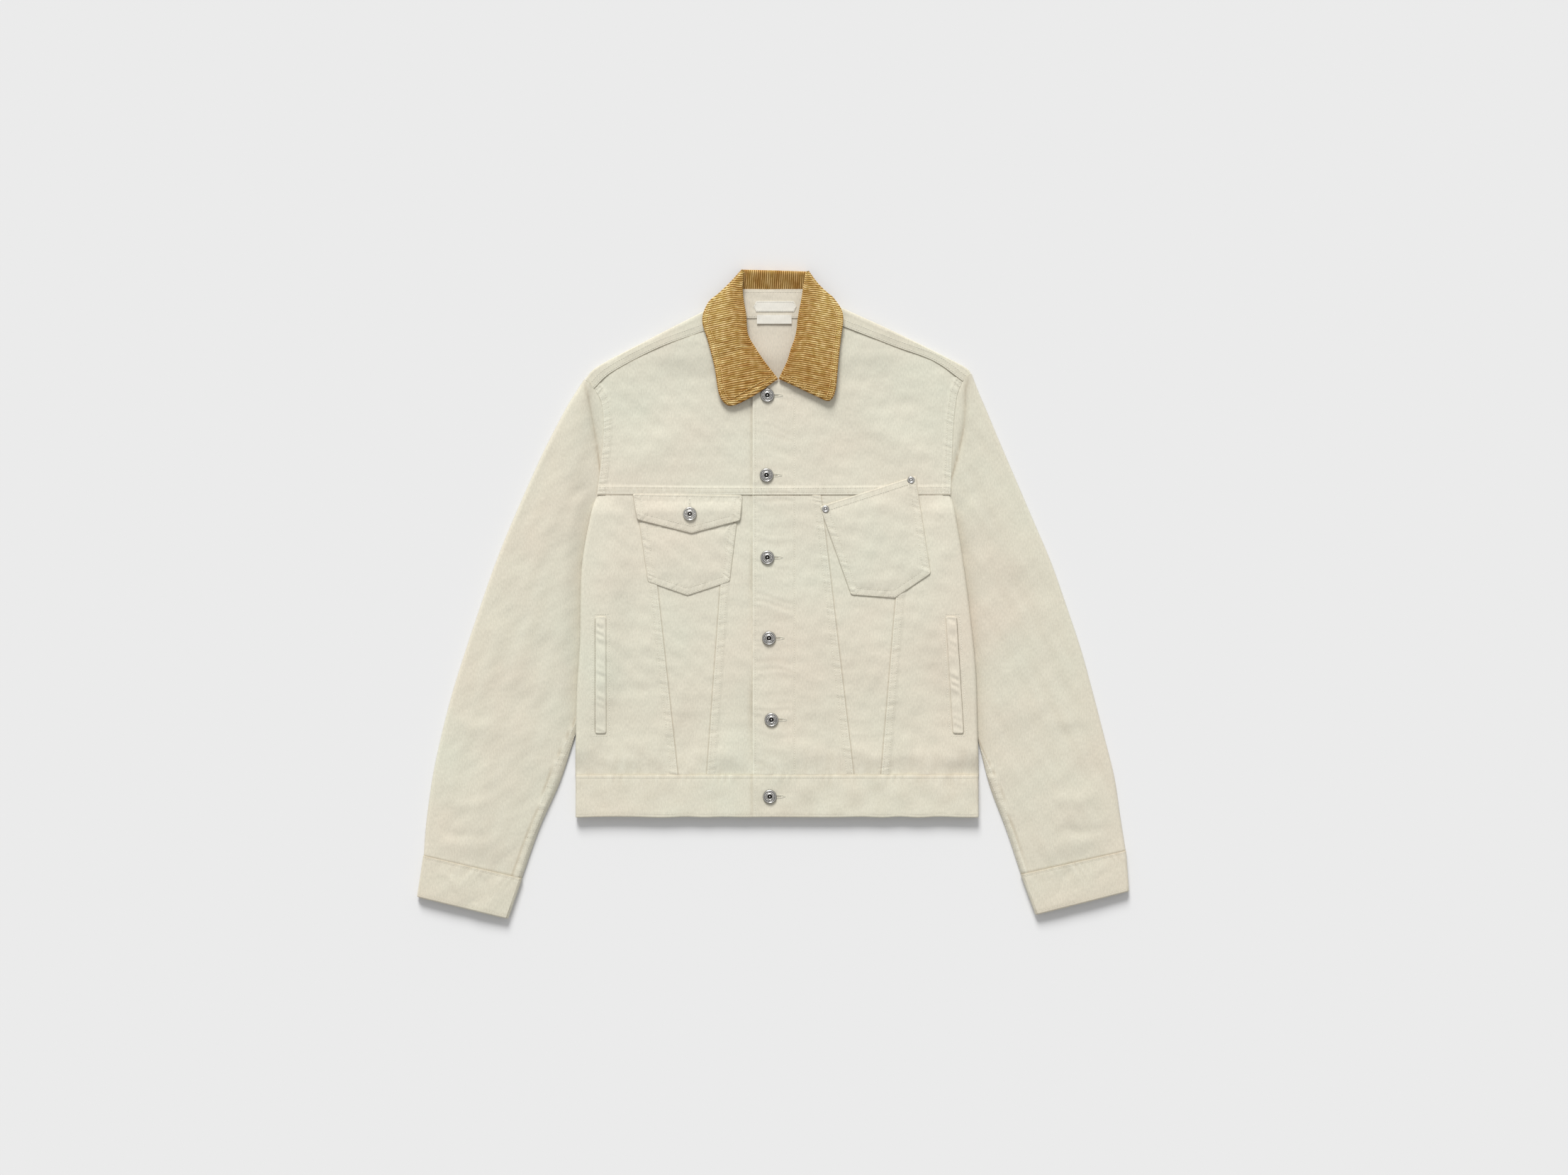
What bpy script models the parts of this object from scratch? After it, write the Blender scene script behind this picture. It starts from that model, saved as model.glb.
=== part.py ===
"""Jacket with a corduroy collar, laid flat on its back.

Sizes are in millimetres until a mesh is made. +X is the viewer's right, +Y points from hem to
collar, +Z points up from the surface that the jacket lies on. Every cloth piece is a sheet: a
grid of points on its middle surface, thickened on both sides. Left and right are the viewer's.
"""
import math

import bpy
import bmesh
from mathutils import Vector

MM = 0.001

# cloth and the room between layers
CLOTH = 1.3            # one layer of cream twill
BAND = 2.6             # two layers sewn together: waistband and cuffs
CORD = 2.5             # corduroy collar with its undercollar
TRIM = 0.8             # neck patch and labels
GAP = 0.3              # room between neighbours
STEP = CLOTH + GAP     # rise from one layer to the next
RIM = 0.25             # a folded edge ends this far above what it lies on
LOFT = 2.0             # air between front and back
SLEEVE_LOFT = 3.0      # air inside a sleeve
FRONT = CLOTH + GAP + LOFT + CLOTH / 2      # middle of the front layer above its bed
BAND_FRONT = FRONT + 0.5                    # middle of the waistband's lower front

# what the body lies on, besides the floor
OVER_SLEEVE = 2 * CLOTH + 5 * GAP           # the body's sides lie on the tops of the sleeves
OVER_COLLAR = CORD + GAP                    # the back neck lies on the collar's fall

# main heights up the jacket
YOKE_Y = 123.0         # seam under both yokes
BAND_Y = -225.0        # seam above the waistband
HEM_Y = -276.0         # lower edge of the waistband
NECK_Y = 378.0         # seam between the back neck and the collar
BACK_YOKE_Y = 140.0    # seam under the back yoke
BODY_ROWS = (110, 98, 62, 26, -12, -52, -92, -132, -172, -196, -212)    # rows between the seams

# front opening
FRONT_EDGE_X = -25.0   # edge of the upper front
UNDER_EDGE_X = 14.0    # hidden edge of the lower front

SIDE_EDGE = {          # the body's side fold, from the yoke seam to the waistband
    "left": [(-218, 124), (-226, 96), (-237, 30), (-239, -60), (-243, -126), (-245, -225)],
    "right": [(220, 124), (226, 96), (238, 20), (250, -85), (253, -166), (255, -225)],
}
ARMHOLE = {            # armhole seam, from the shoulder seam to the side fold
    "left": [(-222, 255), (-213, 238), (-210, 211), (-212, 175), (-218, 124)],
    "right": [(235, 264), (228, 246), (224, 215), (222, 175), (220, 124)],
}
SHOULDER_SEAM = {      # forward shoulder seam, from the armhole to the neck
    "left": [(-222, 255), (-200, 275), (-145, 304), (-86, 326), (-62, 337)],
    "right": [(235, 264), (199, 289), (148, 308), (86, 332), (62, 342)],
}
SHOULDER_FOLD = {      # the fold over the shoulder, from the sleeve to the neck
    "left": [(-234, 266), (-216, 283), (-147, 319), (-88, 349), (-62, 364)],
    "right": [(246, 273), (235, 283), (163, 319), (86, 354), (62, 366)],
}
FRONT_NECK = {         # hidden neckline of each front, from the shoulder seam to the front edge
    "left": [(-62, 337), (-52, 300), (-36, 275), (-6, 262), (UNDER_EDGE_X, 255)],
    "right": [(62, 342), (48, 300), (30, 275), (0, 262), (FRONT_EDGE_X, 250)],
}
V_SEAM = {             # the two V seams of each front: x on the yoke seam and on the waistband
    "left": {"outer": (-156, -118), "inner": (-57, -82)},
    "right": {"outer": (163, 134), "inner": (59, 100)},
}

# a sleeve's stations from shoulder to cuff: its outer edge, its inner edge, and how free the
# inner edge is (0 where it is sewn or hidden under the body, 1 where it is a fold of its own)
SLEEVE = {
    "left": [
        ((-234, 266), (-222.8, 255), 0), ((-245, 249), (-213.8, 238), 0),
        ((-256, 231), (-210.8, 211), 0), ((-275, 195), (-212.8, 175), 0),
        ((-292, 160), (-218.8, 124), 0),
        ((-323, 90), (-228, 94), 0), ((-344, 38), (-208, 46), 0),
        ((-363, -16), (-213, -30), 0), ((-381, -70), (-222, -82), 0),
        ((-397, -121), (-233, -132), 0), ((-411, -175), (-250, -188), 0.3),
        ((-422, -227), (-266, -236), 1), ((-430, -285), (-290, -290), 1),
        ((-433, -324), (-312, -352), 1),
    ],
    "right": [
        ((246, 273), (235.8, 264), 0), ((254, 252), (228.8, 246), 0),
        ((263, 231), (224.8, 215), 0), ((278, 195), (222.8, 175), 0),
        ((293, 160), (220.8, 124), 0),
        ((323, 90), (229, 94), 0), ((345, 38), (209, 46), 0),
        ((364, -16), (219, -30), 0), ((382, -70), (231, -82), 0),
        ((396, -121), (243, -136), 0), ((410, -175), (257, -190), 0.3),
        ((423, -227), (270, -240), 1), ((431, -280), (290, -293), 1),
        ((437, -318), (308, -347), 1),
    ],
}
CUFF = {               # cuff corners: outer and inner end of the seam, then of the lower edge
    "left": ((-433, -325), (-312, -353), (-440.5, -375), (-329, -402)),
    "right": ((437, -319), (308, -348), (440.5, -368), (326, -397)),
}

# collar leaf stations from the front tip to the neck: hidden neck seam, roll edge, outer edge
LEAF = {
    "left": [
        ((-6, 262), (3, 268), (-55, 231)), ((-22, 275), (-11, 287), (-66, 247)),
        ((-34, 293), (-23, 305), (-72, 282)), ((-42, 310), (-32, 322), (-80, 313)),
        ((-46, 332), (-34, 345), (-87, 339)), ((-50, 350), (-37, 362), (-80, 360)),
        ((-50, 366), (-39, 382), (-60, 380)),
    ],
    "right": [
        ((16, 264), (10, 270), (71, 237)), ((28, 277), (18, 287), (77, 254)),
        ((36, 293), (23, 303), (80, 285)), ((42, 310), (29, 321), (83, 313)),
        ((46, 332), (32, 344), (86, 345)), ((50, 350), (36, 365), (76, 364)),
        ((50, 366), (40, 385), (60, 381)),
    ],
}

WELT_WIDTH = 13.0      # hand pocket welts: x of the left edge at the top and at the foot
WELT = {"left": (-220, -220), "right": (214, 223)}

BUTTON_DIAMETER = 17.0
BUTTONS = [(-7, 246), (-8, 147), (-7, 45), (-5, -55), (-2, -156), (-4, -251)]
FLAP_BUTTON = (-103, 99)
RIVET_DIAMETER = 9.0
RIVETS = {"rivet_lower": (65, 105), "rivet_upper": (171, 141)}

CREAM = (0.72, 0.69, 0.58)
OCHRE = (0.45, 0.30, 0.09)
STEEL = (0.42, 0.41, 0.40)


# ---------------------------------------------------------------- plain sums

def smooth(low, high, value):
    """Rise from 0 to 1 as value goes from low to high."""
    part = min(1.0, max(0.0, (value - low) / (high - low)))
    return part * part * (3 - 2 * part)


def mix(a, b, part):
    """Point or number between a and b."""
    if isinstance(a, (int, float)):
        return a + (b - a) * part
    return tuple(p + (q - p) * part for p, q in zip(a, b))


def along(line, part):
    """Point at a fraction of a polyline's length."""
    lengths = [math.dist(a, b) for a, b in zip(line, line[1:])]
    left = part * sum(lengths)
    for a, b, length in zip(line, line[1:], lengths):
        if left <= length:
            return mix(a, b, left / length)
        left -= length
    return tuple(line[-1])


def x_at(line, y):
    """X of a line, which runs down in y, at a height."""
    for (ax, ay), (bx, by) in zip(line, line[1:]):
        if ay >= y >= by:
            return mix(ax, bx, (ay - y) / (ay - by))
    return line[0][0] if y > line[0][1] else line[-1][0]


def patch(top, bottom, left, right, columns, rows):
    """Plan points of a four-sided panel, rows from top to bottom, columns from left to right."""
    grid = []
    for v in rows:
        row = []
        for u in columns:
            t, b = along(top, u), along(bottom, u)
            l, r = along(left, v), along(right, v)
            corners = mix(mix(top[0], top[-1], u), mix(bottom[0], bottom[-1], u), v)
            row.append(tuple(t[i] * (1 - v) + b[i] * v + l[i] * (1 - u) + r[i] * u - corners[i]
                             for i in (0, 1)))
        grid.append(row)
    return grid


def steps(count):
    """Even fractions from 0 to 1."""
    return [i / count for i in range(count + 1)]


# ---------------------------------------------------------------- heights

def sign_of(side):
    """-1 for the left, 1 for the right."""
    return -1 if side == "left" else 1


def hidden_edge(side):
    """The sleeve's inner edge as a line running down."""
    return [inner for _, inner, _ in SLEEVE[side]]


def bed(x, y):
    """Height of what lies under the back: the sleeve under each side, the collar at the neck."""
    side = "left" if x < 0 else "right"
    edge = abs(x_at(hidden_edge(side), y))
    over = smooth(edge - 45, edge - 8, abs(x)) * smooth(128, 98, y) * smooth(-224, -192, y)
    neck = smooth(265, 300, y) * smooth(165, 125, abs(x))
    return over * OVER_SLEEVE + neck * OVER_COLLAR


def front_level(x, y):
    """Middle of the lower front's cloth, and of the left front everywhere."""
    return bed(x, y) + FRONT


def right_level(x, y):
    """Middle of the right front's cloth, which lies on the left front at the opening."""
    return front_level(x, y) + (STEP + 0.1) * smooth(80, 42, x)


def rounded(distance, height):
    """Height of a fold's outside at a distance in from its edge, as a quarter of a circle."""
    if distance >= height:
        return height
    return math.sqrt(max(0.0, height ** 2 - (height - distance) ** 2))


# ---------------------------------------------------------------- making solids

def clear_scene():
    """Remove every object and mesh."""
    for thing in list(bpy.data.objects):
        bpy.data.objects.remove(thing, do_unlink=True)


def make_material(name, colour, roughness, metallic=0.0):
    """Plain material of one colour."""
    material = bpy.data.materials.new(name)
    material.use_nodes = True
    shader = material.node_tree.nodes["Principled BSDF"]
    shader.inputs["Base Color"].default_value = (*colour, 1.0)
    shader.inputs["Roughness"].default_value = roughness
    shader.inputs["Metallic"].default_value = metallic
    material.diffuse_color = (*colour, 1.0)
    return material


def add_object(name, mesh, colour, roughness=0.9, metallic=0.0):
    """Put a mesh in the jacket's collection with a material of its own."""
    thing = bpy.data.objects.new(name, mesh)
    thing.data.materials.append(make_material(name + "_finish", colour, roughness, metallic))
    JACKET.objects.link(thing)
    return thing


def cloth(name, grid, thickness=CLOTH, colour=CREAM, ring=False):
    """Closed sheet round a grid of middle points; None leaves a place out, ring joins its ends."""
    work = bmesh.new()
    points = [[work.verts.new(Vector(p) * MM) if p else None for p in row] for row in grid]
    for upper, lower in zip(points, points[1:]):
        width = len(upper)
        for i in range(width if ring else width - 1):
            j = (i + 1) % width
            corners = (upper[i], lower[i], lower[j], upper[j])
            if all(corners):
                work.faces.new(corners)
    mesh = bpy.data.meshes.new(name)
    work.to_mesh(mesh)
    work.free()
    thing = add_object(name, mesh, colour)
    shell = thing.modifiers.new("Thickness", "SOLIDIFY")
    shell.thickness = thickness * MM
    shell.offset = 0.0
    return thing


def raised(plan, level):
    """Lift plan points to a level, given as a function of the place."""
    return [[(x, y, level(x, y)) for x, y in row] for row in plan]


# ---------------------------------------------------------------- back

def build_back_yoke():
    """Back yoke: one sheet under the shoulders that turns over them to the forward seams."""
    fold_drop = FRONT - CLOTH / 2
    columns = []
    for side in ("left", "right"):
        sign = sign_of(side)
        fold, seam = SHOULDER_FOLD[side], SHOULDER_SEAM[side]
        arm = [point for point in ARMHOLE[side] if point[1] > BACK_YOKE_Y]
        for part in steps(5):
            fx, fy = along(fold, part)
            sx, sy = along(seam, part)
            fx, sx = (x - sign * (1 - part) for x in (fx, sx))
            sy += 2 * GAP
            inward = Vector((sx - fx, sy - fy)).normalized()
            foot_x = mix(x_at(ARMHOLE[side], BACK_YOKE_Y) - sign, sign * 62, part)
            start = bed(fx, fy) + CLOTH / 2
            under = [mix((fx, fy), (foot_x, BACK_YOKE_Y), t) for t in (1.0, 0.75, 0.5, 0.25, 0.1)]
            if part == 0.0:
                under = [(foot_x, BACK_YOKE_Y)] + [(x - sign, y) for x, y in reversed(arm)]
            column = [(x, y, bed(x, y) + CLOTH / 2) for x, y in under]
            radius = fold_drop / 2
            for turn in (-90, -45, 0, 45, 90):
                angle = math.radians(turn)
                out = radius - radius * math.cos(angle)
                column.append((fx + inward.x * out, fy + inward.y * out,
                               start + radius + radius * math.sin(angle)))
            top = [mix((fx, fy), (sx, sy), t) for t in (0.55, 1.0)]
            column += [(x, y, start + 2 * radius) for x, y in top]
            columns.append(column)
    neck = []
    for part in (0.22, 0.42, 0.58, 0.78):
        x = mix(-62, 62, part)
        y = NECK_Y - GAP
        rows = [mix((x, y), (x, BACK_YOKE_Y), t) for t in (1.0, 0.75, 0.5, 0.25, 0.1)]
        column = [(px, py, bed(px, py) + CLOTH / 2) for px, py in rows]
        column.append((x, y, bed(x, y) + CLOTH / 2))
        neck.append(column + [None] * 6)
    ordered = columns[:6] + neck + list(reversed(columns[6:]))
    cloth("back_yoke", [list(row) for row in zip(*ordered)][::-1])


def build_back_panels():
    """Three panels of the back under the yoke; they lie on the floor and over the sleeves."""
    inset = 2.0
    top_y, low_y = BACK_YOKE_Y - GAP, BAND_Y + GAP
    for side in ("left", "right"):
        sign = sign_of(side)
        plan = []
        for y in (top_y, YOKE_Y, *BODY_ROWS, low_y):
            edge = x_at(SIDE_EDGE[side], y) if y < 124 else x_at(ARMHOLE[side], y)
            outer = edge - sign * inset
            inner = sign * (mix(105, 70, (top_y - y) / (top_y - low_y)) + GAP / 2)
            ends = (outer, inner) if side == "left" else (inner, outer)
            spread = (0, 0.1, 0.25, 0.45, 0.7, 1) if side == "left" else (0, 0.3, 0.55, 0.75, 0.9, 1)
            plan.append([(mix(ends[0], ends[1], u), y) for u in spread])
        cloth("back_side_" + side, raised(plan, lambda x, y: bed(x, y) + CLOTH / 2))
    plan = []
    for v in (0.0, 0.5, 1.0):
        y = mix(top_y, low_y, v)
        half = mix(105, 70, v) - GAP / 2
        plan.append([(mix(-half, half, u), y) for u in (0.0, 0.5, 1.0)])
    cloth("back_centre", raised(plan, lambda x, y: CLOTH / 2))


# ---------------------------------------------------------------- fronts

def level_of(side):
    """The height function of a front."""
    return front_level if side == "left" else right_level


def build_front_yoke(side):
    """Front yoke between the shoulder, the armhole, the neck and the yoke seam."""
    sign = sign_of(side)
    edge_x = UNDER_EDGE_X if side == "left" else FRONT_EDGE_X
    top = [(x, y - 2 * GAP) for x, y in SHOULDER_SEAM[side]]
    outer = [top[0]] + ARMHOLE[side][1:]
    outer[-1] = (outer[-1][0], YOKE_Y + GAP)
    neck = [(top[-1][0], top[-1][1])] + FRONT_NECK[side][1:] + [(edge_x, YOKE_Y + GAP)]
    bottom = [outer[-1], neck[-1]]
    if sign > 0:
        top, bottom = top[::-1], bottom[::-1]
    left, right = (outer, neck) if side == "left" else (neck, outer)
    plan = patch(top, bottom, left, right, steps(5), steps(7))
    cloth("front_yoke_" + side, raised(plan, level_of(side)))


def seam_x(side, which, y):
    """X of a V seam at a height."""
    high, low = V_SEAM[side][which]
    return mix(high, low, (YOKE_Y - y) / (YOKE_Y - BAND_Y))


def build_front_panels(side):
    """Side, middle and centre panels of a front, from the yoke seam to the waistband seam."""
    sign = sign_of(side)
    level = level_of(side)
    edge_x = UNDER_EDGE_X if side == "left" else FRONT_EDGE_X
    side_plan, middle_plan, centre_plan = [], [], []
    half = GAP / 2
    for y in (YOKE_Y, *BODY_ROWS, BAND_Y + GAP):
        edge = x_at(SIDE_EDGE[side], y)
        outer, inner = seam_x(side, "outer", y), seam_x(side, "inner", y)
        reach = abs(edge - outer) - half
        inward = [d for d in (0, 0.5, 2, FRONT, 13, 22, 32, 43, mix(43, reach, 0.5), reach)]
        side_plan.append([(edge - sign * d, y) for d in inward])
        middle_plan.append([(mix(outer - sign * half, inner + sign * half, u), y)
                            for u in steps(3)])
        centre_plan.append([(mix(inner - sign * half, edge_x, u), y) for u in steps(4)])
    grid = [[(x, y, RIM + level(x, y) - FRONT + rounded(abs(x - row[0][0]), FRONT))
             for x, y in row] for row in side_plan]
    cloth("front_side_" + side, grid)
    cloth("front_middle_" + side, raised(middle_plan, level))
    cloth("front_centre_" + side, raised(centre_plan, level))


# ---------------------------------------------------------------- sleeves and cuffs

def sleeve_rows(side):
    """Plan rows of a sleeve: outer point, inner point and freedom, with points between."""
    rows = []
    table = SLEEVE[side]
    for first, second in zip(table, table[1:]):
        rows.append(first)
        if abs(first[0][1] - second[0][1]) > 60:
            rows.append((mix(first[0], second[0], 0.5), mix(first[1], second[1], 0.5),
                         mix(first[2], second[2], 0.5)))
    return rows + [table[-1]]


def build_sleeve(side):
    """Upper sleeve, folded down at its free edges, on an under sleeve that lies on the floor."""
    top, under = [], []
    low, high = CLOTH / 2, CLOTH + SLEEVE_LOFT + GAP + CLOTH / 2
    flat = CLOTH + GAP + CLOTH / 2
    for outer, inner, free in sleeve_rows(side):
        width = math.dist(outer, inner)
        shoulder = smooth(110, 130, inner[1])
        inner_level = mix(mix(flat, high, free), FRONT + 0.05, shoulder)
        spread = [0.0, 0.5 / width, 2.0 / width, high / width, 0.2, 0.4, 0.6, 0.78,
                  1 - high / width, 1 - 2.0 / width, 1 - 0.5 / width, 1.0]
        if width < 40:
            spread = [0.0, 0.03, 0.12, 0.25, 0.35, 0.45, 0.55, 0.65, 0.75, 0.85, 0.93, 1.0]
        row = []
        for u in spread:
            x, y = mix(outer, inner, u)
            crown = mix(high, inner_level, smooth(0.45, 0.8, u))
            z = RIM + rounded(u * width, crown)
            if free > 0.5:
                z = min(z, RIM + rounded((1 - u) * width, crown))
            row.append((x, y, z))
        top.append(row)
        inset = 2.0 / width
        end = 1 - inset if free else 1.0
        under.append([(*mix(outer, inner, mix(inset, end, u)), low) for u in steps(4)])
    cloth("sleeve_upper_" + side, top)
    cloth("sleeve_under_" + side, under)


def build_cuff(side):
    """Cuff: one flattened ring of doubled cloth."""
    seam_out, seam_in, low_out, low_in = CUFF[side]
    rows = []
    radius = (BAND + 1.6) / 2
    for part in steps(2):
        outer, inner = mix(seam_out, low_out, part), mix(seam_in, low_in, part)
        width = math.dist(outer, inner)
        ring = []
        for turn in (-90, -30, 30, 90):
            angle = math.radians(turn)
            ring.append(((radius - radius * math.cos(angle)) / width, math.sin(angle)))
        path = [(u, s) for u, s in ring] + [(0.3, 1.25), (0.5, 1.35), (0.7, 1.25)]
        path += [(1 - u, s) for u, s in reversed(ring)] + [(0.7, -1), (0.5, -1), (0.3, -1)]
        rows.append([(*mix(outer, inner, u), BAND / 2 + radius * (1 + s)) for u, s in path])
    cloth("cuff_" + side, rows, BAND, ring=True)


# ---------------------------------------------------------------- waistband

def build_waistband():
    """Waistband: one strip from the lower front's edge, round the back, to the upper front's."""
    low = BAND / 2
    front = BAND_FRONT
    over = front + BAND + GAP
    radius = (front - low) / 2
    rows = []
    for y in (BAND_Y - GAP, (BAND_Y + HEM_Y) / 2, HEM_Y):
        left = x_at(SIDE_EDGE["left"], BAND_Y) + BAND / 2
        right = x_at(SIDE_EDGE["right"], BAND_Y) - BAND / 2
        path = [(UNDER_EDGE_X, front), (FRONT_EDGE_X, front), (-85, front), (-165, front)]
        for turn in (90, 30, -30, -90):
            angle = math.radians(turn)
            path.append((left + radius - radius * math.cos(angle),
                         low + radius + radius * math.sin(angle)))
        path += [(mix(left, right, u), low) for u in (0.25, 0.5, 0.75)]
        for turn in (-90, -30, 30, 90):
            angle = math.radians(turn)
            path.append((right - radius + radius * math.cos(angle),
                         low + radius + radius * math.sin(angle)))
        path += [(165, front), (95, front), (58, front), (36, mix(front, over, 0.55)),
                 (20, over), (FRONT_EDGE_X, over)]
        rows.append([(x, y, z) for x, z in path])
    cloth("waistband", rows, BAND)


# ---------------------------------------------------------------- collar and neck

def build_collar_back():
    """Back of the collar: stand above the neck seam, turned at the top, with its fall beneath."""
    radius = (CORD + 0.5) / 2
    low = CORD / 2
    columns = []
    for u in steps(6):
        seam = (mix(-37, 36, u), NECK_Y + GAP + CORD / 4)
        fold = (mix(-37, 40, u), mix(402.3, 400, u) - CORD / 2)
        outer = (mix(-84, 82, u), 340 - 6 * math.sin(math.pi * u))
        column = [(seam[0], seam[1], low + 2 * radius)]
        for turn in (90, 45, 0, -45, -90):
            angle = math.radians(turn)
            column.append((fold[0], fold[1] - radius + radius * math.cos(angle),
                           low + radius + radius * math.sin(angle)))
        column += [(*mix(fold, outer, t), low) for t in (0.35, 0.7, 1.0)]
        columns.append(column)
    cloth("collar_back", [list(row) for row in zip(*columns)], CORD, OCHRE)


def build_leaf(side):
    """Front leaf of the collar: from the hidden neck seam, over the roll, to its outer edge."""
    radius = (CORD + 0.5) / 2
    level = level_of(side)
    rise = CLOTH / 2 + GAP + CORD / 2 + 0.1
    rows = []
    for seam, roll, outer in LEAF[side]:
        base = max(level(*roll), level(*seam), level(*outer)) + rise
        toward = (Vector(outer) - Vector(roll)).normalized()
        lift = [(*seam, base)]
        for turn in (-90, -30, 30, 90):
            angle = math.radians(turn)
            out = radius - radius * math.cos(angle)
            lift.append((roll[0] + toward.x * out, roll[1] + toward.y * out,
                         base + radius + radius * math.sin(angle)))
        reach = [(0.35, 2 * radius), (0.6, 2 * radius * 0.8), (0.8, 0.4), (1.0, 0.0)]
        lift += [(*mix(roll, outer, t), base + z) for t, z in reach]
        rows.append(lift)
    if side == "right":
        rows = [row[::-1] for row in rows]
    cloth("collar_leaf_" + side, rows, CORD, OCHRE)


def build_neck():
    """Patch inside the back neck, with a maker's label place and a folded care label, bare."""
    base = CLOTH / 2 + GAP + TRIM / 2

    def yoke_top(x, y):
        return bed(x, y) + CLOTH / 2 + base
    columns = steps(4)
    plan = [[(mix(-33, 32, u), y) for u in columns] for y in (NECK_Y - 4, 360, 342)]
    cloth("neck_patch", raised(plan, yoke_top), TRIM)
    lift = TRIM + GAP
    plan = [[(-21, 363), (26, 363)], [(-24, 356.5), (29, 356.5)], [(-21, 350), (26, 350)]]
    cloth("neck_label", raised(plan, lambda x, y: yoke_top(x, y) + lift), TRIM)
    plan = [[(-20, 346), (1, 346), (23, 346)], [(-20, 335), (1, 335), (23, 335)]]
    cloth("care_label", raised(plan, lambda x, y: yoke_top(x, y) + lift), TRIM)


# ---------------------------------------------------------------- pockets

def build_pocket_left():
    """Chest pocket with a pointed foot, and the pointed flap that hangs over its mouth."""
    foot = [(-155, 15), (-106, -2), (-54, 15)]
    plan = patch([(-166, 91), (-45, 88)], foot, [(-166, 91), (-155, 15)],
                 [(-45, 88), (-54, 15)], [0, 0.25, 0.48, 0.75, 1], steps(4))
    cloth("pocket_left", raised(plan, lambda x, y: front_level(x, y) + STEP + GAP))
    point = [(-168, 92), (-101, 75), (-41, 91)]
    plan = patch([(-174, 122), (-38, 122)], point, [(-174, 122), (-168, 92)],
                 [(-38, 122), (-41, 91)], [0, 0.25, 0.52, 0.75, 1], steps(5))
    cloth("flap_left", raised(plan, lambda x, y: front_level(x, y) + STEP + GAP
                              + STEP * smooth(120, 98, y)))


def build_pocket_right():
    """Patch pocket set on a slant, across the yoke seam."""
    foot = [(97, -1), (151, -5), (195, 25)]
    plan = patch([(58, 108), (177, 146)], foot, [(58, 108), (97, -1)],
                 [(177, 146), (180, 123), (195, 25)], [0, 0.25, 0.48, 0.75, 1], steps(6))
    cloth("pocket_right", raised(plan, lambda x, y: right_level(x, y) + STEP + 2 * GAP))


def build_welts():
    """Narrow welts of the two hand pockets."""
    rows = (-28, -52, -92, -132, -173)
    for side, (high, low) in WELT.items():
        plan = []
        for y in rows:
            start = mix(high, low, (rows[0] - y) / (rows[0] - rows[-1]))
            plan.append([(start + d, y) for d in (0, WELT_WIDTH / 2, WELT_WIDTH)])
        level = level_of(side)
        cloth("welt_" + side, raised(plan, lambda x, y: level(x, y) + STEP + 2 * GAP))


# ---------------------------------------------------------------- metal

def turned(name, place, profile, segments):
    """Turn a closed profile of radius and height, listed from the top axis to the lower axis."""
    work = bmesh.new()
    verts = [work.verts.new((radius * MM, 0, height * MM)) for radius, height in profile]
    for a, b in zip(verts, verts[1:]):
        work.edges.new((a, b))
    mesh = bpy.data.meshes.new(name)
    work.to_mesh(mesh)
    work.free()
    thing = add_object(name, mesh, STEEL, 0.35, 1.0)
    thing.location = Vector(place) * MM
    screw = thing.modifiers.new("Turn", "SCREW")
    screw.steps = segments
    screw.render_steps = segments
    screw.use_merge_vertices = True
    screw.merge_threshold = 0.00001
    return thing


def seat(level, x, y, radius):
    """Height that clears a cloth level all round a place."""
    around = [(x, y)] + [(x + radius * a, y + radius * b)
                         for a, b in ((1, 0), (-1, 0), (0, 1), (0, -1))]
    return max(level(*place) for place in around) + CLOTH / 2 + GAP


def build_buttons():
    """Metal buttons with a rolled rim and a hollow round the middle, and two rivets."""
    r = BUTTON_DIAMETER / 2
    profile = [(0, 2.7), (1.2, 2.7), (1.6, 2.2), (2.8, 2.2), (3.6, 3.2), (5.6, 3.5),
               (r - 0.5, 2.6), (r, 1.6), (r - 0.6, 0.7), (3.5, 0.0), (0, 0.0)]
    for index, (x, y) in enumerate(BUTTONS, 1):
        base = seat(right_level, x, y, r)
        if y < BAND_Y:
            base = BAND_FRONT + BAND + GAP + BAND / 2 + GAP
        turned(f"button_{index}", (x, y, base), profile, 18)
    x, y = FLAP_BUTTON
    turned("flap_button", (x, y, seat(front_level, x, y, r) + 2 * STEP + GAP), profile, 18)
    s = RIVET_DIAMETER / 2
    profile = [(0, 1.2), (1.0, 1.2), (1.5, 0.8), (2.2, 1.2), (3.4, 1.1), (s, 0.4), (s, 0), (0, 0)]
    for name, (x, y) in RIVETS.items():
        turned(name, (x, y, seat(right_level, x, y, s) + STEP + 2 * GAP), profile, 14)


def main():
    """Build the whole jacket."""
    build_back_yoke()
    build_back_panels()
    for side in ("left", "right"):
        build_front_yoke(side)
        build_front_panels(side)
        build_sleeve(side)
        build_cuff(side)
        build_leaf(side)
    build_waistband()
    build_collar_back()
    build_neck()
    build_pocket_left()
    build_pocket_right()
    build_welts()
    build_buttons()


clear_scene()
JACKET = bpy.data.collections.new("corduroy_jacket")
bpy.context.scene.collection.children.link(JACKET)
main()
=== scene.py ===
"""Cream twill jacket with an ochre corduroy collar, laid flat on a pale floor.

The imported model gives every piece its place. This script lays the finished cloth, thread and
metal round it. Sizes are millimetres until a mesh is made: +X to the viewer's right, +Y from hem
to collar, +Z up. Left and right are the viewer's.
"""
from __future__ import annotations

import logging
import math
from dataclasses import dataclass, field
from enum import Enum
from typing import Callable, Sequence

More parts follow.
